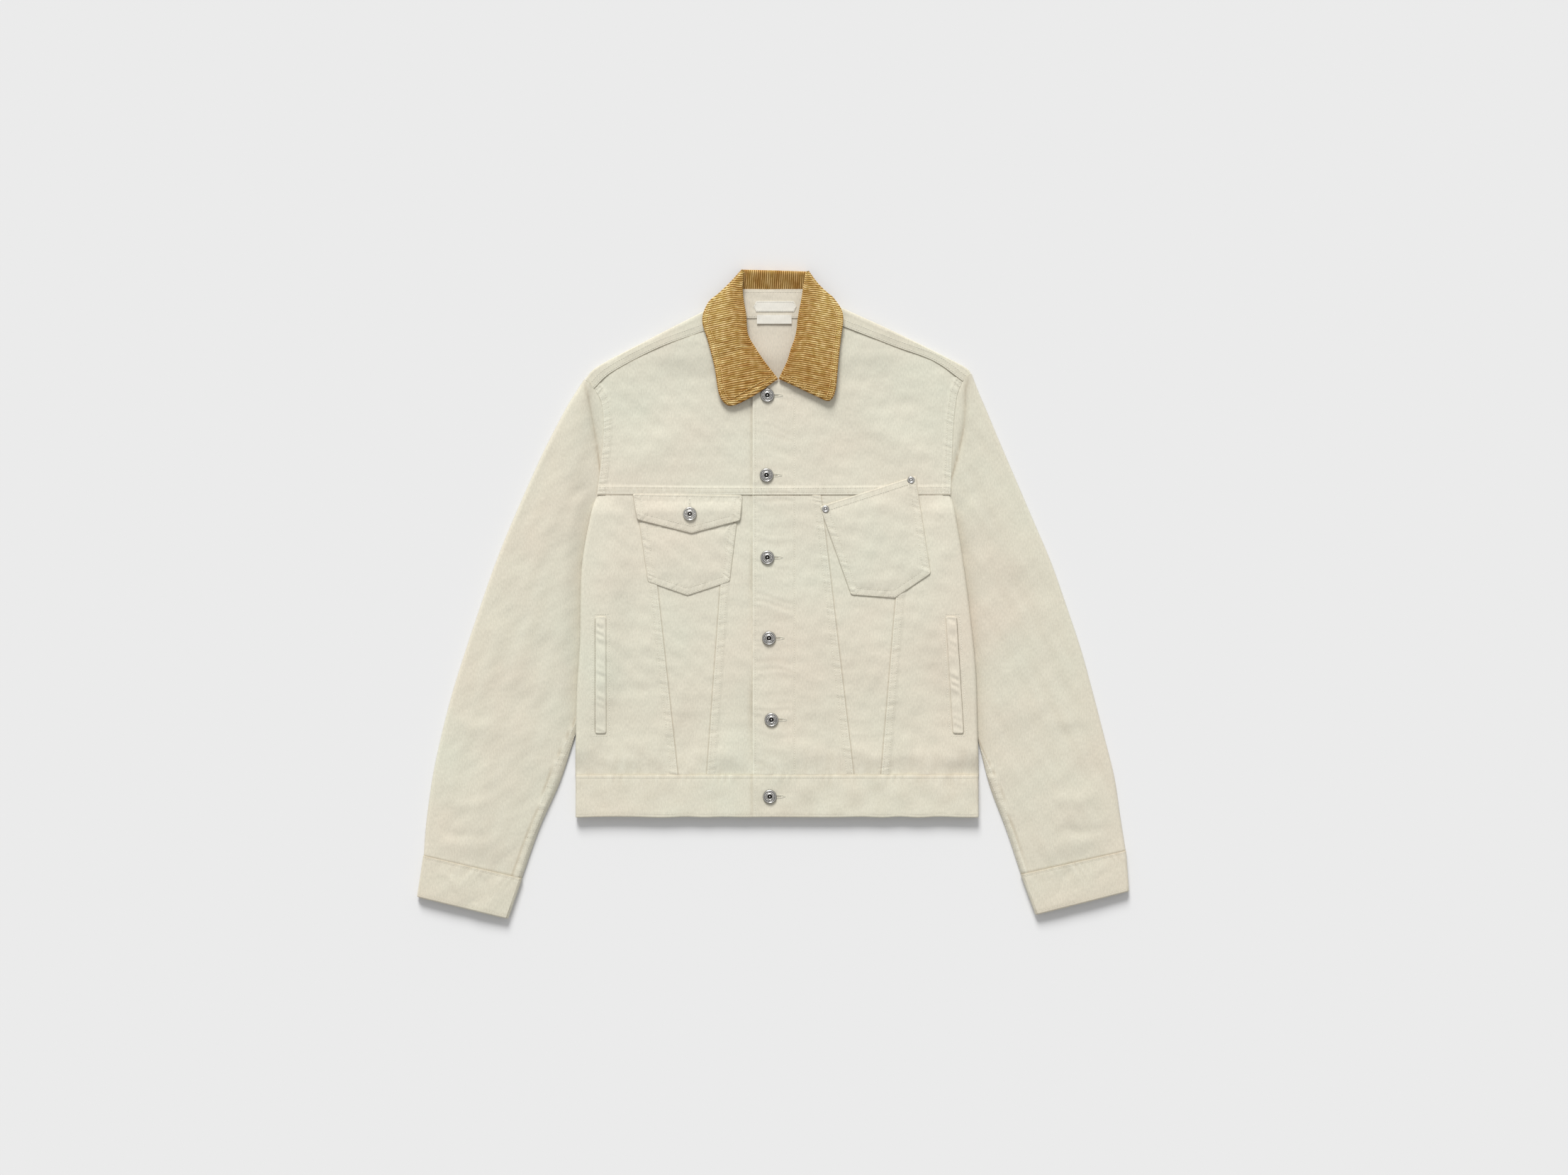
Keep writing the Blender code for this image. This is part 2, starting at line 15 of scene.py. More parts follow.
import bpy
import numpy as np
from mathutils.bvhtree import BVHTree
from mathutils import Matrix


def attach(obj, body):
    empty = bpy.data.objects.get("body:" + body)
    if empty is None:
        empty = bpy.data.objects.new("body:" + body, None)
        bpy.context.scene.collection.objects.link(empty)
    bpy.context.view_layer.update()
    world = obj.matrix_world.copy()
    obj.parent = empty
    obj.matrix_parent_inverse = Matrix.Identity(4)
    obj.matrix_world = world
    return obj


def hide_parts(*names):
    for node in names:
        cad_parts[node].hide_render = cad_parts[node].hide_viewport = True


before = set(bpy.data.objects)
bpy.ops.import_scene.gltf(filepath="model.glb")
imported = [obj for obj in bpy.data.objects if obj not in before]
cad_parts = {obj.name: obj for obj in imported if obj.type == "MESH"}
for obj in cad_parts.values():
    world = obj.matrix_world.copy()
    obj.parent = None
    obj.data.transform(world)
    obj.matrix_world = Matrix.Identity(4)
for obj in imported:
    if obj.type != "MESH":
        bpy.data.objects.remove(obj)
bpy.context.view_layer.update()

LOG = logging.getLogger("jacket")
MM = 0.001
PLY = 0.9 * MM         # length of one turn of the thread's ply, in metres
WALE = 2.6             # one rib of the corduroy
FRONT_ROWS = (-22.2, 26.5)   # X of the placket's two needle rows
TWIN_ROWS = (2.1, 8.6)       # how far a patch's needle rows lie inside its edge
PULL = 0.17                  # how deep a needle row is drawn into the cloth
Array = np.ndarray
Point = tuple[float, float]
Height = Callable[[Array, Array], Array]
Colour = tuple[float, float, float, float]
Socket = bpy.types.NodeSocket
Tree = bpy.types.NodeTree
Node = bpy.types.Node
Thing = bpy.types.Object
Material = bpy.types.Material


class Side(Enum):
    """A side of the jacket as the viewer sees it; the value is the sign of its X."""

    LEFT = -1
    RIGHT = 1

    @property
    def word(self) -> str:
        """Name used in the pieces' names."""
        return self.name.lower()


class Lap(Enum):
    """Which side of a seam's line lies on top; the line is followed from its first point."""

    LEFT_HAND = 1
    RIGHT_HAND = -1


# ------------------------------------------------------------------ plain sums

def smooth(low: float, high: float, value: Array) -> Array:
    """Rise softly from 0 to 1.

    Args:
        low: value where the rise starts.
        high: value where it ends; it may be below low.
        value: the values.

    Returns:
        The eased share for each value.
    """
    part = np.clip((np.asarray(value, float) - low) / (high - low), 0, 1)
    return part * part * (3 - 2 * part)


def hill(away: Array, width: float) -> Array:
    """Round hill, 1 in the middle and fading over a width."""
    return np.exp(-(away / width) ** 2)


def curve(points: Sequence[Point], per: int = 10) -> Array:
    """Smooth line through every point.

    Args:
        points: places that the line passes.
        per: steps between neighbouring points.

    Returns:
        The line's points, one row each.
    """
    p = np.array(points, float)
    if len(p) < 3:
        return p
    run = np.vstack([2 * p[0] - p[1], p, 2 * p[-1] - p[-2]])
    t = np.linspace(0, 1, per, endpoint=False)[:, None]
    spans = [
        0.5 * (2 * b + (c - a) * t + (2 * a - 5 * b + 4 * c - d) * t**2
               + (3 * b - a - 3 * c + d) * t**3)
        for a, b, c, d in zip(run, run[1:], run[2:], run[3:])
    ]
    return np.vstack(spans + [p[-1:]])


def reach(line: Array) -> Array:
    """Length along a line up to each of its points."""
    return np.concatenate([[0], np.cumsum(np.linalg.norm(np.diff(line, axis=0), axis=1))])


def at(line: Array, part: Array) -> Array:
    """Points at fractions of a line's length.

    Args:
        line: the line's points.
        part: fractions from 0 to 1.

    Returns:
        One point for each fraction.
    """
    run = reach(line)
    where = np.asarray(part, float) * run[-1]
    return np.stack([np.interp(where, run, line[:, k]) for k in range(line.shape[1])], axis=-1)


def near(line: Array, x: Array, y: Array) -> tuple[Array, Array]:
    """Where places lie beside a line.

    Args:
        line: the line's points.
        x: the places' X.
        y: the places' Y.

    Returns:
        The distance, positive on the line's left hand, and the length along the line.
    """
    best = np.full(np.shape(x), np.inf)
    hand = np.ones(np.shape(x))
    place = np.zeros(np.shape(x))
    start = 0.0
    for (ax, ay), (bx, by) in zip(line, line[1:]):
        dx, dy = bx - ax, by - ay
        length = math.hypot(dx, dy)
        t = np.clip(((x - ax) * dx + (y - ay) * dy) / length**2, 0, 1)
        away = np.hypot(x - ax - t * dx, y - ay - t * dy)
        closer = away < best - 1e-9
        best = np.where(closer, away, best)
        hand = np.where(closer, np.where(dx * (y - ay) - dy * (x - ax) < 0, -1, 1), hand)
        place = np.where(closer, start + t * length, place)
        start += length
    return best * hand, place


def beside(line: Array, distance: float) -> Array:
    """The line moved sideways, to its left hand where the distance is positive."""
    run = np.gradient(line, axis=0)
    run /= np.maximum(np.linalg.norm(run, axis=1, keepdims=True), 1e-9)
    return line + distance * np.stack([-run[:, 1], run[:, 0]], axis=1)


def inset(corners: Sequence[Point], distance: float) -> list[Point]:
    """Open line with sharp corners moved to its left hand, its corners kept sharp."""
    p = np.array(corners, float)
    run = np.diff(p, axis=0)
    run /= np.linalg.norm(run, axis=1, keepdims=True)
    out = np.stack([-run[:, 1], run[:, 0]], axis=1)
    moved = [p[0] + out[0] * distance]
    for here, a, b in zip(p[1:-1], out, out[1:]):
        middle = (a + b) / (1 + a @ b)
        moved.append(here + middle * distance)
    moved.append(p[-1] + out[-1] * distance)
    return [tuple(point) for point in moved]


def ripple(place: Array, wave: float, seed: float) -> Array:
    """Uneven wave along a length, between about -1 and 1."""
    turn = 2 * math.pi * np.asarray(place) / wave
    return (np.sin(turn + 1.9 * np.sin(turn / 3.3 + seed))
            * (0.62 + 0.38 * np.sin(turn / 5.3 + 2.3 * seed)))


def rumple(x: Array, y: Array, size: float, seed: int) -> Array:
    """Soft uneven surface of several long waves, between about -1 and 1."""
    rng = np.random.default_rng(seed)
    total = np.zeros(np.shape(x))
    for _ in range(7):
        angle, phase, scale = rng.uniform(0, math.pi), rng.uniform(0, 6.3), rng.uniform(0.6, 1.7)
        turn = 2 * math.pi / (size * scale)
        total += np.sin(turn * (x * math.cos(angle) + y * math.sin(angle)) + phase)
    return total / 3.2


def graded(length: float, close: Sequence[float], step: float) -> Array:
    """Distances across a panel: close together near both edges, even between.

    Args:
        length: the panel's width.
        close: distances from each edge, from 0 outwards.
        step: the even step between.

    Returns:
        Distances from 0 to the length.
    """
    keep = [d for d in close if d < length / 2 - step / 2]
    count = max(2, round((length - 2 * keep[-1]) / step) + 1)
    middle = np.linspace(keep[-1], length - keep[-1], count)[1:-1]
    return np.concatenate([keep, middle, length - np.array(keep[::-1])])


CHORD_STEPS = 24
SEAM_STEPS = (0, 0.35, 0.9, 1.7, 2.6, 3.6, 4.8, 6.2, 7.4, 8.4, 9.2, 10.2, 11.6, 13.5, 16)


def coons(top: Array, bottom: Array, left: Array, right: Array, u: Array, v: Array) -> Array:
    """Places inside a four-sided panel.

    Args:
        top: upper edge, left to right.
        bottom: lower edge, left to right.
        left: left edge, top to bottom.
        right: right edge, top to bottom.
        u: fractions across.
        v: fractions down.

    Returns:
        A grid of places, rows down and columns across.
    """
    t, b = at(top, u)[None], at(bottom, u)[None]
    lf, r = at(left, v)[:, None], at(right, v)[:, None]
    uu, vv = u[None, :, None], v[:, None, None]
    corner = ((1 - uu) * (1 - vv) * top[0] + uu * (1 - vv) * top[-1]
              + (1 - uu) * vv * bottom[0] + uu * vv * bottom[-1])
    return (1 - vv) * t + vv * b + (1 - uu) * lf + uu * r - corner


# ------------------------------------------------------------------ meshes

def make_mesh(name: str, points: Array, faces: Array, grain: Array | None = None,
              sharp: float = 50.0) -> Thing:
    """Make an object of four-sided faces.

    Args:
        name: the piece's name.
        points: corners in millimetres.
        faces: four corner numbers a row.
        grain: place of each corner in the flat cloth, in millimetres, kept as a UV map.
        sharp: angle in degrees above which an edge is not smoothed.

    Returns:
        The linked object.
    """
    mesh = bpy.data.meshes.new(name)
    mesh.from_pydata((points * MM).tolist(), [], faces.tolist())
    if grain is not None:
        layer = mesh.uv_layers.new(name="Grain")
        layer.data.foreach_set("uv", grain[faces.ravel()].astype(np.float32).ravel() * MM)
    mesh.shade_smooth()
    mesh.set_sharp_from_angle(angle=math.radians(sharp))
    thing = bpy.data.objects.new(name, mesh)
    bpy.context.scene.collection.objects.link(thing)
    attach(thing, "root")
    return thing


def area_of(grid: Array) -> float:
    """Area of a grid's surface in square millimetres."""
    a, b, c, d = grid[:-1, :-1], grid[1:, :-1], grid[1:, 1:], grid[:-1, 1:]
    first = np.linalg.norm(np.cross(b - a, c - a), axis=-1)
    second = np.linalg.norm(np.cross(c - a, d - a), axis=-1)
    return float((first + second).sum() / 2)


def make_sheet(name: str, middle: Array, thickness: float, grain: Array | None = None,
               raised: Array | float = 0.0, ring: bool = False,
               shade: Array | None = None) -> Thing:
    """Closed sheet of cloth round a grid of middle points.

    Args:
        name: the piece's name.
        middle: rows and columns of points.
        thickness: the cloth's thickness.
        grain: place of each point in the flat cloth; the points' own X and Y where left out.
        raised: extra height of the upper face.
        ring: whether the last column joins the first.
        shade: painted shade (below 0) and painted highlight (above 0) at each point, from -1 to 1.

    Returns:
        The linked object.
    """
    rows, columns = middle.shape[:2]
    across = ((np.roll(middle, -1, 1) - np.roll(middle, 1, 1)) if ring
              else np.gradient(middle, axis=1))
    out = np.cross(np.gradient(middle, axis=0), across)
    out /= np.maximum(np.linalg.norm(out, axis=-1, keepdims=True), 1e-12)
    if ring:
        centre = middle.mean(axis=1, keepdims=True)
        turned = ((middle - centre) * out).sum() < 0
    else:
        turned = out[..., 2].mean() < 0
    if turned:
        out = -out
    lift = np.asarray(raised, float)
    lift = lift[..., None] if lift.ndim else lift
    upper = middle + out * (thickness / 2 + lift)
    lower = middle - out * thickness / 2
    points = np.concatenate([upper.reshape(-1, 3), lower.reshape(-1, 3)])
    t = np.arange(rows * columns).reshape(rows, columns)
    if ring:
        t = np.concatenate([t, t[:, :1]], axis=1)
    b = t + rows * columns

    def quads(p: Array, q: Array, r: Array, s: Array) -> Array:
        return np.stack([p.ravel(), q.ravel(), r.ravel(), s.ravel()], axis=1)

    faces = [
        quads(t[:-1, :-1], t[1:, :-1], t[1:, 1:], t[:-1, 1:]),
        quads(b[:-1, :-1], b[:-1, 1:], b[1:, 1:], b[1:, :-1]),
        quads(t[0, :-1], t[0, 1:], b[0, 1:], b[0, :-1]),
        quads(t[-1, 1:], t[-1, :-1], b[-1, :-1], b[-1, 1:]),
    ]
    if not ring:
        faces += [
            quads(t[1:, 0], t[:-1, 0], b[:-1, 0], b[1:, 0]),
            quads(t[:-1, -1], t[1:, -1], b[1:, -1], b[:-1, -1]),
        ]
    every = np.concatenate(faces)
    if turned:
        every = every[:, ::-1]
    flat = middle[..., :2] if grain is None else grain
    flat = np.concatenate([flat.reshape(-1, 2), flat.reshape(-1, 2)])
    thing = make_mesh(name, points, every, flat)
    thing["cut_area"] = area_of(middle) * MM * MM
    # Painted shade and highlight at each point, kept as a point attribute that the shader reads.
    dye = np.zeros(rows * columns) if shade is None else np.asarray(shade, float).ravel()
    layer = thing.data.attributes.new("Dye", "FLOAT", "POINT")
    layer.data.foreach_set("value", np.concatenate([dye, dye]).astype(np.float32))
    return thing


def declare(node: str) -> None:
    """Hide the imported part that a cloth piece stands for.

    Args:
        node: the node it stands for.
    """
    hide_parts(node)


# ------------------------------------------------------------------ shader groups

def new_group(name: str, inputs: dict[str, tuple[str, object]],
              outputs: dict[str, str]) -> tuple[Tree, Node, Node]:
    """Start a shader node group.

    Args:
        name: the group's name.
        inputs: kind and first value of each input.
        outputs: kind of each output.

    Returns:
        The group, its input node and its output node.
    """
    group = bpy.data.node_groups.new(name, "ShaderNodeTree")
    for key, (kind, value) in inputs.items():
        made = group.interface.new_socket(key, in_out="INPUT", socket_type=kind)
        if value is not None:
            made.default_value = value
    for key, kind in outputs.items():
        group.interface.new_socket(key, in_out="OUTPUT", socket_type=kind)
    return group, group.nodes.new("NodeGroupInput"), group.nodes.new("NodeGroupOutput")


def maths(tree: Tree, operation: str, *values: object) -> Socket:
    """Add a Math node fed by sockets or numbers, and give its result."""
    node = tree.nodes.new("ShaderNodeMath")
    node.operation = operation
    for index, value in enumerate(values):
        if isinstance(value, Socket):
            tree.links.new(value, node.inputs[index])
        else:
            node.inputs[index].default_value = value
    return node.outputs[0]


def blend(tree: Tree, share: object, first: object, second: object,
          how: str = "MIX") -> Socket:
    """Add a colour Mix node fed by sockets or values, and give its result."""
    node = tree.nodes.new("ShaderNodeMix")
    node.data_type = "RGBA"
    node.blend_type = how
    for index, value in ((0, share), (6, first), (7, second)):
        if isinstance(value, Socket):
            tree.links.new(value, node.inputs[index])
        else:
            node.inputs[index].default_value = value
    return node.outputs[2]


def total(tree: Tree, *terms: tuple[object, object]) -> Socket:
    """Add up sockets or numbers, each times its own weight.

    Args:
        tree: node tree that gets the nodes.
        terms: pairs of a socket or number and its weight.

    Returns:
        The sum.
    """
    whole = None
    for value, weight in terms:
        part = value if weight == 1 else maths(tree, "MULTIPLY", value, weight)
        whole = part if whole is None else maths(tree, "ADD", whole, part)
    return whole


def shade_by(tree: Tree, tint: Socket, *gains: Socket) -> Socket:
    """Make a colour lighter or darker.

    Args:
        tree: node tree that gets the nodes.
        tint: the colour.
        gains: one gain for all, or one each for red, green and blue.

    Returns:
        The new colour.
    """
    tone = tree.nodes.new("ShaderNodeCombineColor")
    for index in range(3):
        tree.links.new(gains[index % len(gains)], tone.inputs[index])
    return blend(tree, 1.0, tint, tone.outputs[0], "MULTIPLY")


def axes_of(tree: Tree, place: Socket) -> bpy.types.NodeOutputs:
    """Split a place into X, Y and Z.

    Args:
        tree: node tree that gets the node.
        place: the place.

    Returns:
        The three sockets.
    """
    node = tree.nodes.new("ShaderNodeSeparateXYZ")
    tree.links.new(place, node.inputs[0])
    return node.outputs


def noise(tree: Tree, place: Socket, scale: float, detail: float = 2.0) -> Socket:
    """Add a Noise node.

    Args:
        tree: node tree that gets the node.
        place: where the noise is read.
        scale: how fine it is.
        detail: how many finer layers it has.

    Returns:
        Its value.
    """
    node = tree.nodes.new("ShaderNodeTexNoise")
    node.inputs["Scale"].default_value = scale
    node.inputs["Detail"].default_value = detail
    tree.links.new(place, node.inputs["Vector"])
    return node.outputs[0]


def stretch(tree: Tree, value: Socket, low: float, high: float,
            start: float = 0.0, end: float = 1.0) -> Socket:
    """Add a clamped Map Range node.

    Args:
        tree: node tree that gets the node.
        value: what is mapped.
        low: value that gives the start.
        high: value that gives the end.
        start: lowest result.
        end: highest result.

    Returns:
        The result.
    """
    node = tree.nodes.new("ShaderNodeMapRange")
    tree.links.new(value, node.inputs[0])
    for index, number in enumerate((low, high, start, end), 1):
        node.inputs[index].default_value = number
    return node.outputs[0]


class Shaders:
    """The node groups that several finishes share, each built once."""

    def __init__(self) -> None:
        """Build every group."""
        self.mottle = self._mottle()
        self.twill = self._twill()
        self.fleck = self._fleck()
        self.rib = self._rib()
        self.twist = self._twist()
        self.dye = self._dye()

    @staticmethod
    def _dye() -> Tree:
        """Painted shade and highlight: the colour darker and warmer, or lighter and cooler, by each
        point's painted-shade value.
        """
        group, start, end = new_group(
            "Washed dye",
            {"Color": ("NodeSocketColor", (1, 1, 1, 1)), "Amount": ("NodeSocketFloat", 0.2),
             "Warmth": ("NodeSocketFloat", 0.04)},
            {"Color": "NodeSocketColor"})
        # Reads the per-point painted shade and highlight.
        source = group.nodes.new("ShaderNodeAttribute")
        source.attribute_name = "Dye"
        dye = source.outputs["Fac"]
        gains = [total(group, (1.0, 1), (maths(group, "MULTIPLY", dye, start.outputs["Amount"]), 1),
                       (maths(group, "MULTIPLY", dye, start.outputs["Warmth"]), sign))
                 for sign in (-1.0, 0.0, 1.0)]
        group.links.new(shade_by(group, start.outputs["Color"], *gains), end.inputs["Color"])
        return group

    @staticmethod
    def _mottle() -> Tree:
        """Two tones that drift into each other over the cloth."""
        group, start, end = new_group(
            "Mottle",
            {"Place": ("NodeSocketVector", None), "First": ("NodeSocketColor", (1, 1, 1, 1)),
             "Second": ("NodeSocketColor", (1, 1, 1, 1))},
            {"Color": "NodeSocketColor"})
        both = total(group, (noise(group, start.outputs["Place"], 6), 0.86),
                     (noise(group, start.outputs["Place"], 42), 0.14))
        share = stretch(group, both, 0.26, 0.78)
        group.links.new(blend(group, share, start.outputs["First"], start.outputs["Second"]),
                        end.inputs["Color"])
        return group

    @staticmethod
    def _twill() -> Tree:
        """Fine diagonal ribs of a twill, with uneven yarns."""
        group, start, end = new_group(
            "Twill weave",
            {"Grain": ("NodeSocketVector", None), "Pitch": ("NodeSocketFloat", 0.0011)},
            {"Height": "NodeSocketFloat", "Shade": "NodeSocketFloat"})
        grain = start.outputs["Grain"]
        x, y, _ = axes_of(group, grain)
        turn = maths(group, "DIVIDE", 2 * math.pi, start.outputs["Pitch"])
        slant = maths(group, "MULTIPLY", total(group, (x, 1), (y, 0.7)), turn)
        ribs = maths(group, "SINE", total(group, (slant, 1), (noise(group, grain, 220, 1), 2.4)))
        height = total(group, (ribs, 0.16), (noise(group, grain, 1500), 1),
                       (noise(group, grain, 520), 0.4))
        group.links.new(height, end.inputs["Height"])
        group.links.new(stretch(group, height, 0.15, 1.25), end.inputs["Shade"])
        return group

    @staticmethod
    def _fleck() -> Tree:
        """Light and dark specks of single yarns, drawn out along the warp."""
        group, start, end = new_group(
            "Yarn fleck",
            {"Grain": ("NodeSocketVector", None), "Color": ("NodeSocketColor", (1, 1, 1, 1)),
             "Strength": ("NodeSocketFloat", 0.1)},
            {"Color": "NodeSocketColor"})
        size = group.nodes.new("ShaderNodeMapping")
        size.inputs["Scale"].default_value = (1.0, 0.35, 1.0)
        group.links.new(start.outputs["Grain"], size.inputs["Vector"])
        speck = stretch(group, noise(group, size.outputs[0], 640, 3), 0.3, 0.7)
        cloud = stretch(group, noise(group, start.outputs["Grain"], 240, 3), 0.3, 0.7)
        value = total(group, (speck, 0.82), (cloud, 0.18), (-0.5, 1))
        gain = total(group, (1.0, 1), (value, start.outputs["Strength"]))
        group.links.new(shade_by(group, start.outputs["Color"], gain), end.inputs["Color"])
        return group

    @staticmethod
    def _rib() -> Tree:
        """Corduroy wales: light nap on the ribs, ground showing between them, and lighter crests that are
        partly wear and partly painted highlight.
        """
        group, start, end = new_group(
            "Corduroy rib",
            {"Grain": ("NodeSocketVector", None), "Pitch": ("NodeSocketFloat", 0.0031),
             "Ground": ("NodeSocketColor", (0, 0, 0, 1)), "Nap": ("NodeSocketColor", (1, 1, 1, 1)),
             "Crest": ("NodeSocketColor", (1, 1, 1, 1))},
            {"Color": "NodeSocketColor", "Height": "NodeSocketFloat"})
        turn = maths(group, "DIVIDE", math.pi, start.outputs["Pitch"])
        across = axes_of(group, start.outputs["Grain"])[1]
        rib = maths(group, "SINE", maths(group, "MULTIPLY", across, turn))
        rib = maths(group, "ABSOLUTE", rib)
        pile = stretch(group, noise(group, start.outputs["Grain"], 900, 3), 0.28, 0.72)
        clump = stretch(group, noise(group, start.outputs["Grain"], 170, 3), 0.35, 0.65)
        # Where the crests are lighter: partly wear, partly painted highlight.
        wear_and_highlight = total(group, (rib, 1), (clump, 0.42), (-0.21, 1))
        body = blend(group, stretch(group, rib, 0.18, 0.62), start.outputs["Ground"],
                     start.outputs["Nap"])
        body = blend(group, stretch(group, wear_and_highlight, 0.72, 1.15), body, start.outputs["Crest"])
        tone = total(group, (0.88, 1), (pile, 0.24))
        group.links.new(shade_by(group, body, tone), end.inputs["Color"])
        group.links.new(total(group, (rib, 1), (pile, 0.5)), end.inputs["Height"])
        return group

    @staticmethod
    def _twist() -> Tree:
        """Ply of a sewing thread, wound round its length."""
        group, start, end = new_group(
            "Thread twist", {"Place": ("NodeSocketVector", None)}, {"Height": "NodeSocketFloat"})
        x, y, _ = axes_of(group, start.outputs["Place"])
        wave = maths(group, "SINE", maths(group, "MULTIPLY", maths(group, "ADD", x, y),
                                          2 * math.pi / PLY))
        group.links.new(maths(group, "ADD", wave, noise(group, start.outputs["Place"], 2500, 1)),
                        end.inputs["Height"])
        return group


def place_group(tree: Tree, group: Tree,
                **values: object) -> Node:
    """Place a group in a material and feed its inputs with sockets or values."""
    node = tree.nodes.new("ShaderNodeGroup")
    node.node_tree = group
    for key, value in values.items():
        if isinstance(value, Socket):
            tree.links.new(value, node.inputs[key])
        else:
            node.inputs[key].default_value = value
    return node


def colour(red: float, green: float, blue: float) -> Colour:
    """Linear colour from screen values between 0 and 255."""
    def straight(value: float) -> float:
        share = value / 255
        return share / 12.92 if share <= 0.04045 else ((share + 0.055) / 1.055) ** 2.4
    return (straight(red), straight(green), straight(blue), 1.0)


def start_material(name: str, roughness: float) -> tuple[Material, Tree,
                                                         Node]:
    """Start a node material and give it, its tree and its Principled shader."""
    material = bpy.data.materials.new(name)
    material.use_nodes = True
    tree = material.node_tree
    shader = tree.nodes["Principled BSDF"]
    shader.inputs["Roughness"].default_value = roughness
    return material, tree, shader


def add_bump(tree: Tree, shader: Node, height: Socket,
             distance: float, strength: float) -> None:
    """Feed a height into the shader's normal."""
    bump = tree.nodes.new("ShaderNodeBump")
    bump.inputs["Strength"].default_value = strength
    bump.inputs["Distance"].default_value = distance
    tree.links.new(height, bump.inputs["Height"])
    tree.links.new(bump.outputs["Normal"], shader.inputs["Normal"])


@dataclass(frozen=True)
class TwillFinish:
    """Washed cream twill: two drifting tones, fine ribs and specks, under painted shade and highlight."""

    name: str
    first: Colour
    second: Colour
    fleck: float = 0.17
    pitch: float = 0.0011

    def build(self, shaders: Shaders) -> Material:
        """Make the material from the shared groups."""
        material, tree, shader = start_material(self.name, 0.92)
        grain = tree.nodes.new("ShaderNodeUVMap")
        grain.uv_map = "Grain"
        place = tree.nodes.new("ShaderNodeTexCoord")
        tone = place_group(tree, shaders.mottle, Place=place.outputs["Object"],
                           First=self.first, Second=self.second)
        fleck = place_group(tree, shaders.fleck, Grain=grain.outputs[0],
                            Color=tone.outputs["Color"], Strength=self.fleck)
        weave = place_group(tree, shaders.twill, Grain=grain.outputs[0], Pitch=self.pitch)
        shade = stretch(tree, weave.outputs["Shade"], 0.0, 1.0, 0.93, 1.05)
        # Painted shade and highlight from each point's value.
        painted_shading = place_group(tree, shaders.dye, Amount=0.2, Warmth=0.03,
                             Color=shade_by(tree, fleck.outputs["Color"], shade))
        tree.links.new(painted_shading.outputs["Color"], shader.inputs["Base Color"])
        shader.inputs["Sheen Weight"].default_value = 0.12
        shader.inputs["Sheen Roughness"].default_value = 0.6
        shader.inputs["Specular IOR Level"].default_value = 0.25
        add_bump(tree, shader, weave.outputs["Height"], 0.0002, 0.45)
        return material


@dataclass(frozen=True)
class CorduroyFinish:
    """Wide-wale corduroy: golden crests, partly wear and partly painted highlight, over a darker ochre
    ground.
    """

    name: str
    ground: Colour
    nap: Colour
    crest: Colour
    pitch: float

    def build(self, shaders: Shaders) -> Material:
        """Make the material from the shared groups."""
        material, tree, shader = start_material(self.name, 0.95)
        grain = tree.nodes.new("ShaderNodeUVMap")
        grain.uv_map = "Grain"
        rib = place_group(tree, shaders.rib, Grain=grain.outputs[0], Pitch=self.pitch,
                          Ground=self.ground, Nap=self.nap, Crest=self.crest)
        # Painted shade and highlight from each point's value, stronger and warmer on the corduroy.
        painted_shading = place_group(tree, shaders.dye, Color=rib.outputs["Color"], Amount=0.42,
                             Warmth=0.16)
        tree.links.new(painted_shading.outputs["Color"], shader.inputs["Base Color"])
        shader.inputs["Sheen Weight"].default_value = 0.35
        shader.inputs["Sheen Roughness"].default_value = 0.45
        shader.inputs["Sheen Tint"].default_value = colour(250, 215, 150)
        shader.inputs["Specular IOR Level"].default_value = 0.15
        add_bump(tree, shader, rib.outputs["Height"], 0.0004, 0.6)
        return material


@dataclass(frozen=True)
class ThreadFinish:
    """Twisted sewing thread."""

    name: str
    tint: Colour

    def build(self, shaders: Shaders) -> Material:
        """Make the material from the shared groups."""
        material, tree, shader = start_material(self.name, 0.7)
        place = tree.nodes.new("ShaderNodeTexCoord")
        twist = place_group(tree, shaders.twist, Place=place.outputs["Object"])
        # Painted shade in the grooves of the ply, full colour on its turns.
        dark = tuple(0.86 * value for value in self.tint[:3]) + (1.0,)
        share = stretch(tree, twist.outputs["Height"], -0.6, 1.2)
        tree.links.new(blend(tree, share, dark, self.tint), shader.inputs["Base Color"])
        shader.inputs["Sheen Weight"].default_value = 0.2
        add_bump(tree, shader, twist.outputs["Height"], 0.0001, 0.5)
        return material


@dataclass(frozen=True)
class MetalFinish:
    """Cast metal with an old silver finish, dark where it is sunk."""

    name: str
    bright: Colour
    dark: Colour
    sunk: float
    proud: float

    def build(self, shaders: Shaders) -> Material:
        """Make the material; heights are in metres above the piece's own origin."""
        material, tree, shader = start_material(self.name, 0.35)
        place = tree.nodes.new("ShaderNodeTexCoord")
        stain = noise(tree, place.outputs["Object"], 900, 3)
        level = total(tree, (axes_of(tree, place.outputs["Object"])[2], 1), (stain, 0.0009))
        share = stretch(tree, level, self.sunk, self.proud)
        tree.links.new(blend(tree, share, self.dark, self.bright), shader.inputs["Base Color"])
        tree.links.new(stretch(tree, share, 0.0, 1.0, 0.6, 0.3), shader.inputs["Roughness"])
        shader.inputs["Metallic"].default_value = 1.0
        add_bump(tree, shader, stain, 0.0001, 0.25)
        return material


